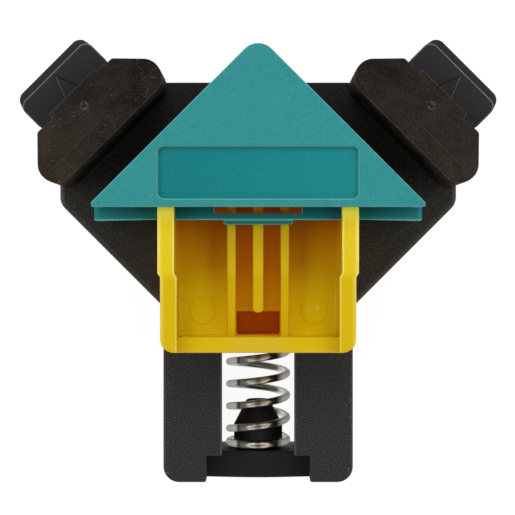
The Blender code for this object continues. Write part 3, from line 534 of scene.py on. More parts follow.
def moulded_black():
    """Grained plastic, pitted on top, with painted highlights along its rims and edges.

    The legs are cooler in tone and scuffed along their outer edges. The plate between them is darker
    and warmer, partly painted shade, with painted shade towards the wedge and painted light at its
    lower rim. The sunk crossbar and the cone's tip get painted shade, and the tip is also duller.
    """
    finish = Finish("moulded black plastic", Specular_IOR_Level=0.16)
    grain = finish.noise(0.00050, 2.0, 0.7)
    cloud = finish.noise(0.0120, 3.0)
    x, z, up, level, aside = finish.where
    sunk = z.ramp(CROSSBAR_TOP + 0.0020, CROSSBAR_TOP + 0.0008)
    sunk = sunk * level.ramp(SEAT + 0.0002, SEAT - 0.0001)
    on_top = up.ramp(0.6, 0.9) * (1 - sunk * 0.8)
    leg = (level + DATUM_Y).ramp(-0.018, -0.034)
    # The plate is darker and warmer than the legs: partly its own tone, partly painted shade
    finish.colour = finish.mix(leg, (0.0225, 0.0190, 0.0150), (0.0280, 0.0280, 0.0293))
    finish.tint(cloud * 0.35, (0.0120, 0.0112, 0.0108))
    finish.tint(grain.ramp(0.52, 0.30) * on_top * 0.85, (0.0060, 0.0056, 0.0054))
    finish.tint(grain.ramp(0.52, 0.75) * on_top * 0.75, (0.0680, 0.0670, 0.0680))
    coarse = finish.noise(0.0010, 2.0, 0.6)
    plate = on_top * (1 - leg)
    finish.tint(coarse.ramp(0.52, 0.34) * plate * 0.75, (0.0050, 0.0045, 0.0040))
    finish.tint(coarse.ramp(0.53, 0.70) * plate * 0.45, (0.0720, 0.0650, 0.0560))
    # Painted shade on faces that turn away from the top
    finish.tint(up.ramp(0.7, 0.3) * 0.4, (0.0085, 0.0078, 0.0074))
    # Painted shade on the sunk crossbar
    finish.tint(sunk * 0.75, (0.0075, 0.0068, 0.0058))
    # Painted shade towards the wedge and painted light towards the plate's lower rim
    upper = level.ramp(0.0240, 0.0420)
    finish.tint(upper * 0.50, (0.0110, 0.0098, 0.0085))
    lower = level.ramp(0.0300, 0.0150) * (1 - leg)
    finish.tint(lower * 0.35, (0.0420, 0.0370, 0.0290))
    # Painted highlights on the rounded rims of the base and on the slanted edges of its cheeks
    crown = up.ramp(0.25, 0.45)
    rim = aside.ramp(BASE_HALF - 0.0020, BASE_HALF - 0.0001) * crown * level.ramp(0.0370, 0.0330)
    slanted_edge_highlight = (level - aside).ramp(0.0032 - CHEEK, 0.0006 - CHEEK) * crown * (1 - leg)
    pale = finish.mix(x.ramp(-0.01, 0.01), (0.1250, 0.1230, 0.1180), (0.1080, 0.0900, 0.0710))
    finish.tint(rim * 0.95, pale)
    finish.tint(slanted_edge_highlight * 0.28, (0.1250, 0.1150, 0.1050))
    # Painted highlight along the slot's edges
    slot_edge_highlight = aside.ramp(SLOT_HALF + 0.0009, SLOT_HALF + 0.0002) * leg
    slot_edge_highlight = slot_edge_highlight * z.ramp(BASE_TOP - 0.0010, BASE_TOP - 0.0005)
    finish.tint(slot_edge_highlight * 0.5, (0.1000, 0.1000, 0.1040))
    # Painted highlight along the legs' outer top edges
    brim_highlight = aside.ramp(LEG_OUTER - 0.0011, LEG_OUTER - 0.0003) * leg * on_top
    finish.tint(brim_highlight * 0.45, (0.0750, 0.0600, 0.0500))
    edge = aside.ramp(LEG_OUTER - 0.0039, LEG_OUTER - 0.0011) * leg * (0.2 + 0.8 * on_top)
    scuff = finish.specks(0.0007, 0.27) * edge * cloud.ramp(0.45, 0.58)
    finish.tint(scuff * 0.55, (0.20, 0.19, 0.18))
    # Painted shade on the cone's tip, which is also duller
    tip = level.ramp(SEAT + 0.0140, SEAT + 0.0150) * z.ramp(CROSSBAR_TOP + 0.0002, CROSSBAR_TOP - 0.0008)
    tip = tip * aside.ramp(0.0060, 0.0055) * level.ramp(SEAT + 0.0180, SEAT + 0.0170)
    finish.tint(tip * 0.8, (0.0050, 0.0045, 0.0040))
    return finish.done(0.50 + 0.16 * grain + 0.34 * tip, grain * on_top + 0.2 * grain, 0.00006)


def moulded_grey():
    """Smooth charcoal plastic with a shallow arrow in the top, which points away from the wedge."""
    finish = Finish("smooth charcoal plastic", Specular_IOR_Level=0.004)
    grain = finish.noise(0.0004, 2.0)
    cloud = finish.noise(0.0080, 2.0)
    z, up = finish.where[1:3]
    out, across = finish.jaw_place()
    run = ((ARROW_TIP - out) * ARROW_SLOPE - abs(across)) / math.hypot(1, ARROW_SLOPE)
    on_top = z.ramp(POST_TOP - 0.0003, POST_TOP - 0.0001)
    groove = abs(run).ramp(0.00026, 0.00008) * on_top * out.ramp(ARROW_TIP + 0.0003, ARROW_TIP)
    finish.colour = finish.mix(cloud, (0.0230, 0.0228, 0.0250), (0.0290, 0.0287, 0.0315))
    finish.tint(grain.ramp(0.45, 0.7) * 0.5, (0.0400, 0.0395, 0.0420))
    # Painted shade on faces that turn away from the top
    finish.tint(up.ramp(0.6, 0.3) * 0.8, (0.0060, 0.0060, 0.0060))
    # Painted highlight on the rounded rims
    finish.tint(finish.round_edge(0.45, 0.60) * (0.25 + 0.5 * cloud), (0.2100, 0.2050, 0.2050))
    # Arrow: painted shade in its grooves, and a painted highlight on the one stroke that light would fall
    # on
    finish.tint(groove * 0.6, (0.0060, 0.0060, 0.0065))
    lit = across.ramp(0.0001, -0.0001) * run.ramp(-0.00010, 0.00006) * groove
    finish.tint(lit * 0.9, (0.1500, 0.1470, 0.1480))
    return finish.done(0.54 + 0.1 * grain, grain * 0.06 + (1 - groove * (1 - lit)), 0.00020)


def moulded_teal():
    """Satin teal plastic with a fine grain and painted highlights on its rims.

    The panel's floor is deeper in tone, with painted shade towards its left. The ledge under the
    plate's front gets a painted shadow of the plate that fades away from it, painted light towards
    its ends and a painted highlight along its edge, and the tab below it gets painted shadow.
    """
    finish = Finish("satin teal plastic", Specular_IOR_Level=0.22)
    grain = finish.noise(0.00045, 2.0, 0.7)
    cloud = finish.noise(0.0150, 3.0)
    x, z, up, level, aside = finish.where
    panel = z.ramp(WEDGE_TOP - 0.0003, WEDGE_TOP - 0.0008)
    panel = panel * aside.ramp(RECESS_HALF + 0.0004, RECESS_HALF)
    under = z.ramp(SHELF_TOP + 0.0010, SHELF_TOP) * level.ramp(WEDGE_CORNER, WEDGE_FRONT)
    under = under * (abs(finish.ahead) + abs(up)).ramp(0.3, 0.7)
    tab = level.ramp(LEDGE - 0.0002, LEDGE - 0.0005)
    finish.colour = finish.mix(cloud, (0.0190, 0.2180, 0.2220), (0.0270, 0.2480, 0.2460))
    # Panel floor: deeper in tone, with painted shade towards its left
    rightwards = x.ramp(-0.0300, 0.0300)
    panel_tone_and_shade = finish.mix(rightwards, (0.0020, 0.1760, 0.1870), (0.0045, 0.2080, 0.2120))
    finish.tint(panel, panel_tone_and_shade)
    # Painted shadow of the plate on the ledge, darkest next to the plate
    fore = level.ramp(WEDGE_FRONT - 0.0006, LEDGE + 0.0002)
    ledge_shadow_tone = finish.mix(fore, (0.0004, 0.0900, 0.0960), (0.0060, 0.1650, 0.1620))
    finish.tint(under, ledge_shadow_tone)
    # Painted light towards the ledge's outer ends
    outer = aside.ramp(WEDGE_HALF - 0.0142, WEDGE_HALF - 0.0002) * 0.35
    outer = outer + aside.ramp(WEDGE_HALF - 0.0018, WEDGE_HALF - 0.0008) * 0.50
    finish.tint(outer * under, (0.0140, 0.2500, 0.2450))
    # Painted highlight on the ledge's front edge
    brim_highlight = level.ramp(LEDGE + 0.00045, LEDGE + 0.00015) * under
    finish.tint(brim_highlight, (0.0900, 0.3700, 0.3350))
    # Painted shadow on the tab below the ledge
    finish.tint(tab, (0.0120, 0.1480, 0.1320))
    calm = 0.5 - 0.3 * panel - 0.35 * under
    finish.tint(grain.ramp(0.50, 0.75) * calm, (0.0800, 0.3500, 0.3400))
    finish.tint(grain.ramp(0.45, 0.25) * 0.5, (0.0080, 0.1600, 0.1650))
    # Painted highlights on the rounded rims
    finish.tint(finish.round_edge(0.30, 0.55) * (0.45 + 0.2 * under), (0.1800, 0.4600, 0.4300))
    return finish.done(0.44 + 0.12 * grain - 0.08 * panel, grain, 0.00003)


def moulded_yellow():
    """Satin yellow plastic with painted highlights on its rims, and painted shade, darker and more
    orange, where little light gets in.

    The floor of each finger well bears a round mark of the mould's ejector pin, and the right
    one has two dents in it.
    """
    finish = Finish("satin yellow plastic", Specular_IOR_Level=0.08)
    grain = finish.noise(0.0004, 2.0)
    cloud = finish.noise(0.0100, 3.0)
    x, z, up, level, aside = finish.where
    past = level - MARK_Y
    sideways = aside - MARK_X
    away = (sideways * sideways + past * past).math("SQRT")
    floor = z.ramp(TRAY_FLOOR + 0.0004, TRAY_FLOOR + 0.0002) * up.ramp(0.8, 0.95)
    mark = away.ramp(MARK_RADIUS + 0.00012, MARK_RADIUS - 0.00012) * floor
    line = abs(away - MARK_RADIUS).ramp(0.0005, 0.0001) * floor
    dents = 0.0
    for dent_x, dent_y in DENTS:
        over, off = x - dent_x, past - dent_y
        dents = dents + (over * over + off * off * 0.6).math("SQRT").ramp(0.0011, 0.0002) * floor
    finish.colour = finish.mix(cloud, (0.670, 0.490, 0.012), (0.725, 0.540, 0.018))

    # The narrow end, painted shade on the end wall's edges and painted highlights on the rims of the walls
    low_end = level.ramp(-0.0040, -0.0070)
    finish.tint(low_end, (0.612, 0.412, 0.004))
    # Painted shade on the end wall's inner edge
    crest_shade = level.ramp(TRAY_END_INNER + 0.0002, TRAY_END_INNER - 0.0002) * aside.ramp(0.013, 0.005)
    finish.tint(crest_shade * 0.5, (0.600, 0.405, 0.030))
    narrow = aside + low_end * TRAY_STEP
    high = z.ramp(TRAY_WALL_TOP - 0.0006, TRAY_WALL_TOP - 0.0003)
    outer = narrow.ramp(TRAY_OUTER - 0.0016, TRAY_OUTER) * high
    inner = narrow.ramp(TRAY_INNER + 0.0007, TRAY_INNER + 0.0002) * high
    # Painted highlights on the rims of the walls' tops
    pale = level.ramp(-0.0150, 0.0050, 0.35, 0.75)
    finish.tint((outer + inner) * pale, (0.880, 0.750, 0.180))
    # Painted shade on the end wall's outer top edge
    shore_shade = level.ramp(TRAY_END + 0.0006, TRAY_END) * z.ramp(TRAY_END_TOP - 0.0006, TRAY_END_TOP)
    finish.tint(shore_shade * 0.5, (0.620, 0.460, 0.080))

    # Painted shade inside the walls: darker and more orange towards the floor, and more so under the wedge
    inside = aside.ramp(TRAY_INNER + 0.0012, TRAY_INNER + 0.0007)
    inside = inside * level.ramp(TRAY_END_INNER - 0.0009, TRAY_END_INNER - 0.0004)
    inside = inside * z.ramp(TRAY_BOTTOM + 0.0002, TRAY_BOTTOM + 0.0012)
    depth = z.ramp(TRAY_WALL_TOP, TRAY_FLOOR) * inside
    finish.tint(depth * 0.8, (0.560, 0.330, 0.001))
    # Painted shade on the walls' inner faces
    face = up.ramp(0.35, 0.10) * inside * narrow.ramp(TRAY_INNER - 0.0015, TRAY_INNER - 0.0005)
    finish.tint(face * 0.6, (0.400, 0.200, 0.0))
    # Painted shade on the floors: deeper and more orange under the wedge, lighter beside the ribs, darker
    # by the outer walls
    wedge_shade_share = level.ramp(-0.0220, 0.0140)
    middle = aside.ramp(RIB_INNER + 0.0004, RIB_INNER)
    low = z.ramp(TRAY_FLOOR + 0.0050, TRAY_FLOOR + 0.0012) * inside
    finish.tint(low, finish.mix(wedge_shade_share, (0.790, 0.560, 0.002), (0.560, 0.185, 0.0)))
    finish.tint(low * middle, finish.mix(wedge_shade_share, (0.760, 0.390, 0.0), (0.770, 0.250, 0.0)))
    beside = aside.ramp(0.0190, 0.0130) * (1 - middle) * low
    finish.tint(beside * 0.6, finish.mix(wedge_shade_share, (0.990, 0.740, 0.002), (0.690, 0.165, 0.0)))
    wall_side_shade = aside.ramp(0.0185, 0.0235) * level.ramp(0.0040, -0.0060) * low
    finish.tint(wall_side_shade * 0.40, (0.430, 0.270, 0.0))
    # Painted shade on the ribs under the plate, lighter on their tops
    covered_shade = inside * level.ramp(0.0112, 0.0140) * z.ramp(TRAY_RIB_TOP + 0.0006, TRAY_RIB_TOP + 0.0002)
    ridge = z.ramp(TRAY_RIB_TOP - 0.0010, TRAY_RIB_TOP - 0.0004)
    finish.tint(covered_shade, finish.mix(ridge, (0.800, 0.190, 0.003), (0.960, 0.330, 0.0)))

    # The pocket between the ribs, with painted bounce light, and painted light on the wall tops beside the
    # wedge
    pocket = z.ramp(TRAY_FLOOR - 0.0005, TRAY_FLOOR - 0.0030)
    pocket = pocket * z.ramp(POCKET_FLOOR - 0.0006, POCKET_FLOOR - 0.0002)
    pocket = pocket * aside.ramp(POCKET_HALF + 0.0005, POCKET_HALF + 0.0002)
    pocket = pocket * level.ramp(POCKET_BACK + 0.0005, POCKET_BACK + 0.0002)
    pocket = pocket * level.ramp(TRAY_END_INNER - 0.0005, TRAY_END_INNER - 0.0002)
    # Painted bounce light in the pocket: a bright orange
    finish.tint(pocket, (0.970, 0.410, 0.003))
    # Painted light on the wall tops beside the wedge
    lit_wall_tops = level.ramp(0.0095, 0.0150) * z.ramp(TRAY_WALL_TOP - 0.0008, TRAY_WALL_TOP - 0.0002)
    finish.tint(lit_wall_tops, (0.950, 0.850, 0.070))

    # Ejector marks, painted shade in the fillet round the floor, and the dents with painted highlights
    finish.tint(line * 0.14, (0.36, 0.22, 0.0))
    # Painted shade in the fillet round the floor
    fillet = z.ramp(TRAY_FLOOR + FILLET, TRAY_FLOOR + 0.0004) * up.ramp(0.96, 0.85)
    finish.tint(fillet * up.ramp(0.1, 0.3) * 0.5, (0.34, 0.20, 0.0))
    # Painted highlights on the dents
    finish.tint(dents * 0.35, (0.88, 0.70, 0.08))
    height = 0.06 * grain + mark * 0.5 + dents * 0.4
    return finish.done(0.36 + 0.1 * grain, height, 0.00012)


def moulded_rubber(name, tone):
    """Matt dark rubber with fine pale dust, most of it near the rim, and a brown bloom on the sides.

    A ring of crumbs sits over the pivot, and a faint painted highlight runs along the seam of the
    facing. The sides get painted shade, deeper low down, and the rounded rims painted highlights.
    """
    finish = Finish(name, Specular_IOR_Level=0.06)
    grain = finish.noise(0.0005, 3.0, 0.7)
    cloud = finish.noise(0.0070, 4.0, 0.6)
    x, z, up = finish.where[:3]
    out, across = finish.jaw_place()
    out = out - PIVOT
    # Patchy tone, lighter towards one end across the shoe
    mottle_and_slope = cloud.ramp(0.30, 0.70) * 0.5 + across.ramp(0.020, -0.022) * 0.5
    finish.colour = finish.mix(mottle_and_slope, [0.36 * part for part in tone], [2.20 * part for part in tone])
    finish.tint(grain.ramp(0.5, 0.75) * 0.75, (0.055, 0.047, 0.040))
    finish.tint(grain.ramp(0.5, 0.25) * 0.75, (0.006, 0.0045, 0.004))
    # Painted shade on the sides, deeper low down; the brown bloom after it is the rubber's own
    flank = up.ramp(0.7, 0.2)
    deep = z.ramp(SHOE_TOP - 0.0020, SHOE_TOP - 0.0110)
    finish.tint(flank * (0.4 + 0.3 * deep), (0.0060, 0.0040, 0.0030))
    finish.tint(flank * cloud.ramp(0.4, 0.65) * 0.35, (0.050, 0.027, 0.013))
    rim = abs(across + 0.0020).ramp(0.0170, 0.0225) * 0.20
    rim = rim + out.ramp(-0.0090, -0.0115) * 0.12
    rim = rim - across.ramp(0.0, 0.0120) * 0.08
    rim = rim + across.ramp(-0.0100, -0.0210) * 0.09
    patch = finish.noise(0.0060, 2.0) + rim
    dust = finish.specks(0.0008, 0.22) * patch.ramp(0.50, 0.64)
    dust = dust * grain.ramp(0.30, 0.60) * x.ramp(0.02, -0.02, 0.45, 1.0)
    pits = finish.specks(0.0007, 0.22) * patch.ramp(0.46, 0.60)
    finish.tint(pits * 0.5, (0.004, 0.003, 0.003))
    finish.tint(dust * 0.7, (0.20, 0.180, 0.152))
    crumbs = finish.noise(0.0007, 2.0)
    away = (out * out + across * across).math("SQRT") + 0.0020 * crumbs
    ring = abs(away - 0.0021).ramp(0.0008, 0.0002) * up.ramp(0.8, 0.95) * crumbs.ramp(0.44, 0.60)
    finish.tint(ring * 0.5, (0.110, 0.096, 0.080))
    # Painted highlight on the rounded rims
    finish.tint(finish.round_edge(0.25, 0.55) * (0.3 + 0.6 * cloud), (0.105, 0.088, 0.072))
    # Painted highlight along the seam of the facing
    seam = abs(out + PIVOT - FACE - FACING - 0.0001).ramp(0.00035, 0.0001)
    finish.tint(seam * across.ramp(0.004, -0.007) * 0.5, (0.060, 0.050, 0.042))
    return finish.done(0.62 + 0.15 * cloud, grain * 0.5 + cloud * 0.5 + dust - ring * 0.6, 0.00009)


def plated_wire():
    """Bright drawn wire with faint draw marks, and painted light: an uneven painted glint given out as
    emission, painted reflection bands, painted shade along its sides, and pale, less metallic bends
    at both sides that stand for light on the coil's ends.
    """
    finish = Finish("bright spring wire")
    x, z, _, _, aside = finish.where
    streak = finish.noise(0.0006, 3.0)
    cloud = finish.noise(0.0060, 2.0)
    finish.colour = finish.mix(cloud, (0.60, 0.575, 0.54), (0.72, 0.70, 0.67))
    finish.tint(streak.ramp(0.62, 0.8) * 0.4, (0.34, 0.30, 0.26))
    # Painted reflection: dark bands beside the coil's top
    high = z.ramp(0.0140, 0.0165)
    reflection_band = abs(aside - 0.0050).ramp(0.0023, 0.0009) * high
    finish.tint(reflection_band * 0.80, (0.110, 0.095, 0.075))
    # Painted reflection: brown down the coil's middle
    middle = aside.ramp(0.0015, 0.0003) * high
    finish.tint(middle * 0.75, (0.24, 0.17, 0.10))
    # Painted shade along the wire's sides as seen from above
    flank = abs(finish.ahead).ramp(0.70, 0.96)
    # Painted light on the coil's ends: pale, less metallic bends
    bend = x.ramp(-0.0062, -0.0078) + x.ramp(0.0058, 0.0088) * 0.8
    finish.tint(bend, (0.86, 0.83, 0.79))
    finish.tint(flank * 0.6, (0.060, 0.054, 0.046))
    # Painted glint, given out as emission: the wire glows where it would shine
    left = x.ramp(-0.0028, -0.0042) * x.ramp(-0.0066, -0.0056)
    shine = (bend * (0.65 + 0.5 * cloud) + left * (0.16 + 0.16 * streak)) * (1 - flank * 0.75)
    shine = shine * abs(finish.ahead).ramp(0.60, 0.15, 1.0, 1.35)
    glint = finish.mix(shine, (0, 0, 0), (0.300, 0.285, 0.262))
    finish.give(Metallic=1 - bend * 0.8, Emission_Color=glint, Emission_Strength=1.0)
    return finish.done(0.24 + 0.14 * cloud, streak, 0.00001)


def plated_steel():
    """Zinc plating: a soft mottle with a hint of blue and yellow."""
    finish = Finish("zinc plated steel", Metallic=1.0)
    mottle = finish.noise(0.0012, 3.0)
    cloud = finish.noise(0.0050, 2.0)
    finish.colour = finish.mix(cloud, (0.50, 0.51, 0.53), (0.60, 0.58, 0.52))
    return finish.done(0.28 + 0.22 * mottle, mottle, 0.00001)


def base_shell():
    """Deck and outer wall in one skin, with the slot and the notch open through it.

    The section climbs from the deck's underside down the wall's inner face, round its foot and up
    the outside. Along the keeper's bay the foot is lifted to the deck, so no wall hangs there, and
    the slot's other walls lean away from it as they go down.
    """
    low = ARM_SHIFT - ARM_HALF
    high = ARM_SHIFT + ARM_HALF
    corners = mirrored([
        (SLOT_HALF, SLOT_BACK, 0.0),
        (SLOT_HALF, BAY_FRONT + 2 * HAIR, 0.0),
        (SLOT_HALF, BAY_FRONT, 0.0),
        (SLOT_HALF, NOTCH_BACK, SLOT_CORNER),
        (NOTCH_HALF, NOTCH_BACK, 0.0004),
        (NOTCH_HALF, LEG_END, 0.0007),
        (LEG_OUTER, LEG_END, BASE_CORNER),
        (LEG_OUTER, LEG_OUTER - CHEEK, 0.0),
        (BASE_HALF, BASE_HALF - CHEEK, BASE_CORNER),
        (BASE_HALF, BASE_HALF + low / DIAGONAL, 0.0),
        ((ARM_REACH - low) * DIAGONAL, (ARM_REACH + low) * DIAGONAL, ARM_CORNER),
        ((ARM_REACH - high) * DIAGONAL, (ARM_REACH + high) * DIAGONAL, ARM_CORNER),
        (BASE_BACK - high / DIAGONAL, BASE_BACK, 0.0),
    ])
    path = outline(corners)
    inside = np.concatenate(([(0.0, CEILING)], quarter((0.0, 0.0003), (-0.0003, 0.0))))
    grid = np.concatenate((
        sweep(outline(shrunk(corners, BASE_WALL)), inside),
        sweep(path, side(0.0, BASE_TOP, BASE_EDGE, 0.0003)[1:]),
    ))
    bay = (np.abs(path[:, 0]) < SLOT_HALF + HAIR) & (path[:, 1] > BAY_FRONT + HAIR)
    lifted = np.maximum(grid[..., 2], CEILING - HAIR)
    grid[..., 2] = np.where(bay[None] & (grid[..., 2] < CEILING), lifted, grid[..., 2])
    beside_slot = np.abs(path[:, 0]) < SLOT_HALF + SLOT_CORNER + 0.00005
    slot = beside_slot & (path[:, 1] > NOTCH_BACK - HAIR) & ~bay
    lean = SLOT_DRAFT * np.clip(1 - grid[len(inside):, :, 2] / CEILING, 0, 1) * slot
    grid[len(inside):, :, 0] += np.sign(path[:, 0]) * lean
    return skin(grid)


def base_ribs():
    """Ribs, guide walls and bosses of the underside, between the wall and the deck."""
    back = BASE_BACK - 0.0015
    near = SLOT_HALF + 0.0020
    leg = LEG_OUTER - 0.0015
    rib = BASE_RIB
    plans = [
        (near, leg, LEG_RIB, LEG_RIB + rib),
        (near, leg, BAY_FRONT - rib, BAY_FRONT),
        (GUIDE, GUIDE + rib, BAY_FRONT, back),
    ]
    plans += [(GUIDE, end, start, start + rib) for end, start in CROSS_RIBS]
    plans += [(x, x + rib, start, end) for x, start, end in LONG_RIBS]
    plans.append((NOTCH_HALF + 0.0010, LEG_OUTER - 0.0025, LEG_END + 0.0022, SEAT))
    plans += [(-x1, -x0, y0, y1) for x0, x1, y0, y1 in plans]
    across = GUIDE + rib
    plans.append((-across, across, SLOT_BACK + HAIR, SLOT_BACK + 0.0030))
    plans.append((-rib / 2, rib / 2, SLOT_BACK + 0.0020, back))
    ceiling = CEILING + BITE
    lifts = [RIB_LIFT * (1 + place % 11) for place in range(len(plans))]
    parts = [slab(box(*plan), lift, ceiling, 0, 0.0003) for plan, lift in zip(plans, lifts)]
    pin_boss = [(ARM_BOSS - 0.0003, 0), (ARM_BOSS, 0.0003), (ARM_BOSS, ceiling)]
    sleeve = [(ARM_BOSS, 0), (ARM_BOSS, ceiling), (SCREW_BORE, ceiling),
              (SCREW_BORE, SCREW_SEAT), (SCREW_SINK, SCREW_SEAT), (SCREW_SINK, 0)]
    left, right = ARM_SHIFT - rib / 2, ARM_SHIFT + rib / 2
    for hand in (1, -1):
        for start, end in ARM_RIBS:
            rows = [(left, start, 0), (right, start, 0), (right, end, 0), (left, end, 0)]
            parts.append(slab(jaw(hand, rows), RIB_LIFT, ceiling, 0))
        for out, profile, ring in ((PIVOT, pin_boss, False), (POST_SCREW, sleeve, True)):
            x, y = hand * (out - ARM_SHIFT) * DIAGONAL, (out + ARM_SHIFT) * DIAGONAL
            parts.append(turned(profile, (x, y, 0), joined=ring))
    return parts


def base_parts():
    """Shell, ribs and the low crossbar, whose outer side bows out a little."""
    half, end = CROSSBAR_HALF, LEG_END + 0.0004
    plan = [(-half, end, 0), (0, LEG_END, CROSSBAR_BOW), (half, end, 0), (half, SEAT, 0), (-half, SEAT, 0)]
    crossbar = slab(outline(plan, 0.005), RIB_LIFT / 2, CROSSBAR_TOP, BASE_EDGE, 0.0003)
    return [base_shell(), crossbar] + base_ribs()


def wedge_parts():
    """Teal wedge: stacked slabs on one triangular outline, under a plate with a sunk panel.

    The plate is a skin over rings that run up its side, inwards over its top and down into the
    panel. Both outlines are cut at the same bearings from the panel's middle, so the rings match.
    """
    top = [(WEDGE_HALF, WEDGE_FRONT, WEDGE_ROUND), (WEDGE_HALF, WEDGE_CORNER, WEDGE_ROUND),
           (0.0, WEDGE_APEX, APEX_RADIUS)]
    outer = outline(mirrored(top))
    panel = box(-RECESS_HALF, RECESS_HALF, RECESS_FRONT, RECESS_BACK, 0.0020)
    centre = np.array((0.0, (RECESS_FRONT + RECESS_BACK) / 2))
    bearing = [np.arctan2(path[:, 1] - centre[1], path[:, 0]) for path in (outer, panel)]
    bearing = np.sort(np.concatenate(bearing))
    bearing = bearing[np.diff(bearing, prepend=-4) > 1e-4]
    floor = WEDGE_TOP - RECESS_DEPTH
    lip, foot = 0.00022, 0.0003
    sunk = np.concatenate((
        [(-lip - HOLD, WEDGE_TOP)],
        quarter((-lip, WEDGE_TOP), (0.0, WEDGE_TOP - lip), True),
        quarter((0.0, floor + foot), (foot, floor)),
        [(foot + HOLD, floor)],
    ))
    rise = side(PLATE_BOTTOM, WEDGE_TOP, 0.0004, 0)
    outer_rings = sweep(straight_out(outer, centre, bearing), rise)
    panel_rings = sweep(straight_out(panel, centre, bearing), sunk)
    parts = [skin(np.concatenate((outer_rings, panel_rings)))]

    def walls(front, bottom, ceiling, foot):
        """A layer of the hollow triangle."""
        slant = WEDGE_WALL / DIAGONAL
        shoulder = WEDGE_CORNER + WEDGE_WALL - slant
        inner = WEDGE_HALF - WEDGE_WALL
        rows = [(inner, shoulder, 0), (inner, front, 0),
                (WEDGE_HALF, front, WEDGE_ROUND), (WEDGE_HALF, WEDGE_CORNER, WEDGE_ROUND)]
        back = [(-x, y, radius) for x, y, radius in rows[::-1]]
        apex = [(0.0, WEDGE_APEX, APEX_RADIUS)]
        notch = [(0.0, WEDGE_APEX - slant, APEX_RADIUS - WEDGE_WALL)]
        return slab(outline(rows + apex + back + notch), bottom, ceiling, 0, foot)

    shelf_top = SHELF_TOP - 2 * HAIR
    parts.append(walls(LEDGE + 0.0002, WEDGE_BOTTOM, SHELF_BOTTOM, 0.0003))
    parts.append(walls(LEDGE - 0.0003, SHELF_BOTTOM, shelf_top, 0))
    parts.append(walls(WEDGE_FRONT, shelf_top, PLATE_BOTTOM, 0))
    strip = TRAY_INNER + BITE
    bridge = outline([
        (-strip, LEDGE, 0.0),
        (strip, LEDGE, 0.0),
        (strip, WINDOW_BACK, 0.0),
        (WINDOW_HALF, WINDOW_BACK, 0.0),
        (WINDOW_HALF, WINDOW_FRONT, 0.0003),
        (-WINDOW_HALF, WINDOW_FRONT, 0.0003),
        (-WINDOW_HALF, WINDOW_BACK, 0.0),
        (-strip, WINDOW_BACK, 0.0),
    ])
    parts.append(slab(bridge, SHELF_BOTTOM, SHELF_TOP, 0.0003, 0.0002))
    start, end = TRAY_OUTER + 0.0003, WEDGE_HALF - 0.0015
    for hand in (1, -1):
        rows = [(start, LEDGE + 0.00012, 0), (end, LEDGE - 0.00028, 0),
                (end, WING_REACH - end, 0), (start, WING_REACH - start, 0)]
        parts.append(slab(handed(hand, rows), SHELF_BOTTOM, SHELF_TOP, 0.00012, 0.0002))
        boss = [(BOSS - 0.0003, BOSS_BOTTOM), (BOSS, BOSS_BOTTOM + 0.0003)]
        boss.append((BOSS, PLATE_BOTTOM + 0.0005))
        parts.append(turned(boss, (hand * BOSS_X, BOSS_Y, 0)))
    tab = box(-TAB_HALF, TAB_HALF, TAB_FRONT, WINDOW_FRONT - 0.0003, 0.0006)
    parts.append(slab(tab, TAB_BOTTOM, SHELF_BOTTOM + 0.0004, 0.0003, 0.0003))
    return parts


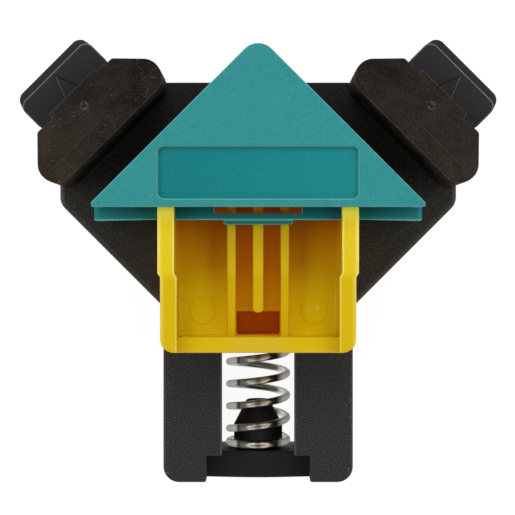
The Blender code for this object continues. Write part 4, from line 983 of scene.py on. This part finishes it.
def tray_parts():
    """Yellow tray: walls and ribs round the finger wells, over the tongue and the spring block."""
    parts = []
    below = TRAY_BOTTOM + 0.00003
    inner, outer = TRAY_INNER - TRAY_STEP, TRAY_OUTER - TRAY_STEP
    for hand in (1, -1):
        wall = [
            (inner, TRAY_END, 0.0),
            (outer, TRAY_END, 0.0042),
            (outer, STEP_START, 0.0008),
            (TRAY_OUTER, STEP_END, 0.0008),
            (TRAY_OUTER, TRAY_BACK, 0.0),
            (TRAY_INNER, TRAY_BACK, 0.0),
            (TRAY_INNER, STEP_END, 0.0008),
            (inner, STEP_START, 0.0008),
        ]
        well = [
            (RIB_OUTER - 0.0003, TRAY_END_INNER - 0.0003, 0.0010),
            (inner + 0.0003, TRAY_END_INNER - 0.0003, 0.0014),
            (inner + 0.0003, STEP_START, 0.0008),
            (TRAY_INNER + 0.0003, STEP_END, 0.0012),
            (TRAY_INNER + 0.0003, TRAY_BACK - 0.0001, 0.0),
            (RIB_OUTER - 0.0003, TRAY_BACK - 0.0001, 0.0),
        ]
        parts.append(slab(handed(hand, wall), TRAY_BOTTOM, TRAY_WALL_TOP, 0.00025, 0.0003))
        dish = np.concatenate((
            [(0.0, below + 0.0010), (0.0, TRAY_FLOOR + FILLET)],
            quarter((0.00018, TRAY_FLOOR + FILLET), (0.0008, TRAY_FLOOR)),
            [(0.0008 + HOLD, TRAY_FLOOR)],
        ))
        parts.append(skin(sweep(handed(hand, well), dish)))
        rib = box(*sorted((hand * RIB_INNER, hand * RIB_OUTER)), TRAY_END_INNER - 0.0010, TRAY_BACK)
        parts.append(slab(rib, TRAY_FLOOR - 0.0020, TRAY_RIB_TOP, 0.0004, 0))
        deck = sorted((hand * POCKET_HALF, hand * (TRAY_INNER + 0.0040)))
        deck = box(*deck, TRAY_END + 0.0060, TRAY_BACK - 0.0002)
        parts.append(slab(deck, below, TRAY_FLOOR - BITE, 0, 0))
    half = TRAY_INNER - 0.0005
    end_wall = box(-half, half, TRAY_END - 0.0003, TRAY_END_INNER)
    parts.append(slab(end_wall, below, TRAY_END_TOP, 0.0005, 0.0004))
    half = RIB_INNER + 0.0002
    middle = box(-half, half, POCKET_BACK, TRAY_BACK - BITE)
    parts.append(slab(middle, below, TRAY_FLOOR, 0.0004, 0))
    centre = box(-CENTRE_RIB_HALF, CENTRE_RIB_HALF, POCKET_BACK - BITE, TRAY_BACK, 0.0012)
    parts.append(slab(centre, TRAY_FLOOR - 0.0020, TRAY_RIB_TOP, 0.0004, 0))
    root = below + 0.0005
    keel = box(-KEEL_HALF, KEEL_HALF, BLOCK_BACK - 0.0010, KEEL_BACK)
    parts.append(slab(keel, KEEL_BOTTOM, root, 0, 0.0003))
    block = box(-KEEL_HALF, KEEL_HALF, BLOCK_FRONT, BLOCK_BACK, 0.0006)
    pocket = box(-POCKET_HALF, POCKET_HALF, TRAY_END_INNER, POCKET_BACK, 0.0008)
    low = POCKET_FLOOR + 0.0005
    hollow = np.concatenate(([(0.0, root), (0.0, low)], quarter((0.0, low), (0.0005, POCKET_FLOOR))[1:]))
    rings = sweep(block, side(BLOCK_BOTTOM, root, 0, 0.0005)), sweep(pocket, hollow)
    parts.append(skin(np.concatenate(rings)))
    spigot = quarter((SPIGOT - 0.0006, 0.0), (SPIGOT, 0.0006), True)
    spigot = np.concatenate((spigot, [(SPIGOT, 0.0022)]))
    parts.append(turned(spigot, (0.0, BLOCK_FRONT - 0.0018, SPRING_AXIS), "Y"))
    return parts


def post_parts(hand):
    """Charcoal stop: the foot's outline blends into the shorter one of the top as the side climbs."""
    first, last = ARM_SHIFT - POST_HALF, ARM_SHIFT + POST_HALF
    section = side(POST_BOTTOM, POST_TOP, 0.0005, 0.0003)
    low, high = [
        sweep(jaw(hand, [(first, POST_FRONT, 0.0010), (last, POST_FRONT, 0.0010),
                         (last, back, 0.0028), (first, back, 0.0028)]), section)
        for back in (POST_FOOT, POST_BACK)
    ]
    share = ((section[:, 1] - POST_BOTTOM) / (POST_TOP - POST_BOTTOM))[:, None, None]
    return [skin(low * (1 - share) + high * share)]


def shoe_parts(hand):
    """Rubber shoe: a bevelled body whose upper half reaches over the post with a short tab."""
    def plan(rows):
        return jaw(hand, [(ARM_SHIFT + across, FACE + depth, radius) for across, depth, radius in rows])

    start = FACING
    right = [(SHOE_HALF, CHAMFER, 0.0054), (SHOE_BACK_HALF, SHOE_DEPTH, 0.0012)]
    left = [(-SHOE_BACK_HALF, SHOE_DEPTH, 0.0012), (-SHOE_HALF, CHAMFER, 0.0054)]
    front = [(-SHOE_HALF, start, 0.0), (SHOE_HALF, start, 0.0)]
    tab = [(SHOE_TAB_HALF, SHOE_DEPTH, 0.0004), (SHOE_TAB_HALF, SHOE_TAB_REACH, 0.0004),
           (-SHOE_TAB_HALF, SHOE_TAB_REACH, 0.0004), (-SHOE_TAB_HALF, SHOE_DEPTH, 0.0004)]
    return [
        slab(plan(front + right + left), SHOE_BOTTOM, SHOE_TAB_BOTTOM, 0, 0.0005),
        slab(plan(front + right + tab + left), SHOE_TAB_BOTTOM, SHOE_TOP, 0.0002, 0),
    ]


def facing_parts(hand):
    """Facing: its back edge runs a little into the body, and its top lies a hair lower."""
    back = FACING + SEAM
    half = SHOE_HALF
    rows = [(-half, 0.0, NOSE), (half, 0.0, NOSE), (half, back, 0.0), (-half, back, 0.0)]
    path = jaw(hand, [(ARM_SHIFT + across, FACE + depth, radius) for across, depth, radius in rows])
    return [slab(path, SHOE_BOTTOM + SEAM_STEP, SHOE_TOP - SEAM_STEP, 0.0002, 0.0005)]


def spring_parts(steps=56, sides=16):
    """Wire along a coil: x = -R cos a, z = axis + R sin a, and y climbs with the turns.

    The climb goes straight from mark to mark and is then evened out over a quarter of a turn.
    Each ring lies in the plane of the coil's outward normal and of the wire's cross direction.
    """
    total = OPEN_TURNS + 2
    turns = np.linspace(0, total, round(total * steps) + 1)
    marks = SPRING_CLIMB + ((total - 1, SPRING_BACK - CLOSED_RISE), (total, SPRING_BACK))
    climb = np.interp(turns, *np.transpose(marks))
    reach = steps // 8
    span = 2 * reach + 1
    climb = np.convolve(np.pad(climb, reach, "edge"), np.full(span, 1 / span), "valid")
    angle = 2 * math.pi * (turns + FIRST_TURN)
    outwards = np.stack((-np.cos(angle), 0 * angle, np.sin(angle)), 1)
    line = COIL * outwards + np.stack((0 * climb, climb, 0 * climb + SPRING_AXIS), 1)
    along = unit(np.gradient(line, axis=0))
    across = np.cross(along, outwards)
    around = np.linspace(0, 2 * math.pi, sides, endpoint=False)[None, :, None]
    left = np.minimum(turns, total - turns) * TURN_LENGTH
    taper = WIRE * np.sqrt(np.clip(1 - ((WIRE_END - left) / WIRE_END) ** 2, 0.25, 1))
    thick = np.where(left > WIRE_END, WIRE, taper)[:, None, None]
    ring = np.cos(around) * outwards[:, None] + np.sin(around) * across[:, None]
    return [skin(line[:, None] + thick * ring)]


def cone_parts():
    """Centring cone: a straight collar, a taper and a small flat tip with a round rim."""
    profile = np.concatenate((
        quarter((COLLAR - 0.0004, 0.0), (COLLAR, 0.0004), True),
        quarter((COLLAR, COLLAR_LENGTH), (COLLAR - 0.0003, COLLAR_LENGTH + 0.0010)),
        quarter((CONE_TIP + 0.0008, CONE_LENGTH - 0.0007), (CONE_TIP, CONE_LENGTH)),
    ))
    return [turned(profile, (0.0, SEAT + 2 * HAIR, SPRING_AXIS), "Y")]


def dress():
    """Makes every piece, gives the kept steel parts their plating, and hides what was remade."""
    black, grey, teal = moulded_black(), moulded_grey(), moulded_teal()
    yellow, wire, steel = moulded_yellow(), plated_wire(), plated_steel()
    body_rubber = moulded_rubber("brown rubber body", (0.0148, 0.0110, 0.0084))
    face_rubber = moulded_rubber("brown rubber facing", (0.0144, 0.0106, 0.0080))
    piece("base_frame_shell", base_parts(), "base", black, ["base_frame"])
    piece("spring_centring_cone", cone_parts(), "base", black, ["spring_cone"])
    piece("wedge_jaw_shell", wedge_parts(), "carriage", teal, ["wedge_jaw"])
    piece("finger_tray", tray_parts(), "carriage", yellow, ["trigger_tray"])
    for name, hand in (("left", -1), ("right", 1)):
        piece(name + "_post", post_parts(hand), "base", grey, [name + "_jaw_post"])
        piece(name + "_shoe_body", shoe_parts(hand), name + "_shoe", body_rubber,
              [name + "_swivel_shoe"])
        piece(name + "_shoe_facing", facing_parts(hand), name + "_shoe", face_rubber,
              [name + "_rubber_facing"])
    coil = piece("coil_spring", spring_parts(), "base", wire, ["compression_spring"])
    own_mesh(coil)
    for name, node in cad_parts.items():
        if "screw" in name or name.endswith("_pin") or name == "keeper_plate":
            for holder in node.material_slots:
                holder.material = steel


def set_stage():
    """Pale floor: what lies on it keeps its shadow, and the camera sees the rest as white."""
    size = 3.0
    mesh = bpy.data.meshes.new("floor")
    corners = [(-size, -size, 0), (size, -size, 0), (size, size, 0), (-size, size, 0)]
    mesh.from_pydata(corners, [], [(0, 1, 2, 3)])
    floor = placed("floor", mesh)
    finish = Finish("pale floor", Specular_IOR_Level=0.0)
    glow = finish.seen_by("Camera", "Glossy", "Transmission")
    tone = finish.mix(finish.noise(0.05, 2.0), (0.80, 0.80, 0.80), (0.82, 0.82, 0.82))
    tone = finish.mix(glow, tone, (0.11, 0.11, 0.11))
    white = finish.mix(glow, (0, 0, 0), (0.94, 0.94, 0.94))
    finish.give(Base_Color=tone, Emission_Color=white, Emission_Strength=1.0, Roughness=1.0)
    mesh.materials.append(finish.material)


def set_world():
    """Soft room: bright all round, dimmer overhead where the camera hangs, white to the camera."""
    world = bpy.data.worlds.new("soft room")
    bpy.context.scene.world = world
    world.use_nodes = True
    tree = world.node_tree
    back = tree.nodes["Background"]
    room = Nodes(tree)
    height = room.parts(room.add("TexCoord", out="Generated"))[2]
    glow = height.ramp(0.97, 0.55, 0.20, 0.81)
    camera = room.seen_by("Camera")
    room.feed(back.inputs["Strength"], glow * (1 - camera) + camera)
    back.inputs["Color"].default_value = (1, 1, 1, 1)


def add_lamp(name, place, size, power):
    lamp = bpy.data.lights.new(name, "AREA")
    lamp.shape = "RECTANGLE"
    lamp.size, lamp.size_y = size
    lamp.energy = power
    item = placed(name, lamp)
    away = unit(np.subtract(place, LAMP_AIM))
    right = unit(np.cross((0, 1, 0.001), away))
    turn = np.stack((right, np.cross(away, right), away), 1)
    item.matrix_world = Matrix.Translation(place) @ Matrix(turn.tolist()).to_4x4()


def set_light():
    """Three soft lamps: one on each side and one behind the wedge's point."""
    add_lamp("left softbox", (-0.75, 0.10, 0.60), (0.50, 0.80), 3.2)
    add_lamp("right softbox", (0.75, 0.10, 0.60), (0.50, 0.80), 3.2)
    add_lamp("back softbox", (0.0, 0.80, 0.60), (0.80, 0.40), 3.6)


def set_camera():
    """Looks straight down with the photograph's narrow view, the wedge's point upwards."""
    camera = bpy.data.cameras.new("camera")
    camera.sensor_fit = "HORIZONTAL"
    camera.sensor_width = SENSOR
    camera.lens = SENSOR * FOCAL_PIXELS / PICTURE_PIXELS
    camera.clip_start = 0.01
    item = placed("camera", camera)
    item.location = (CAMERA_X, DATUM_Y, CAMERA_HEIGHT)
    bpy.context.scene.camera = item


bpy.context.scene.view_settings.view_transform = "Standard"
dress()
set_stage()
set_world()
set_light()
set_camera()
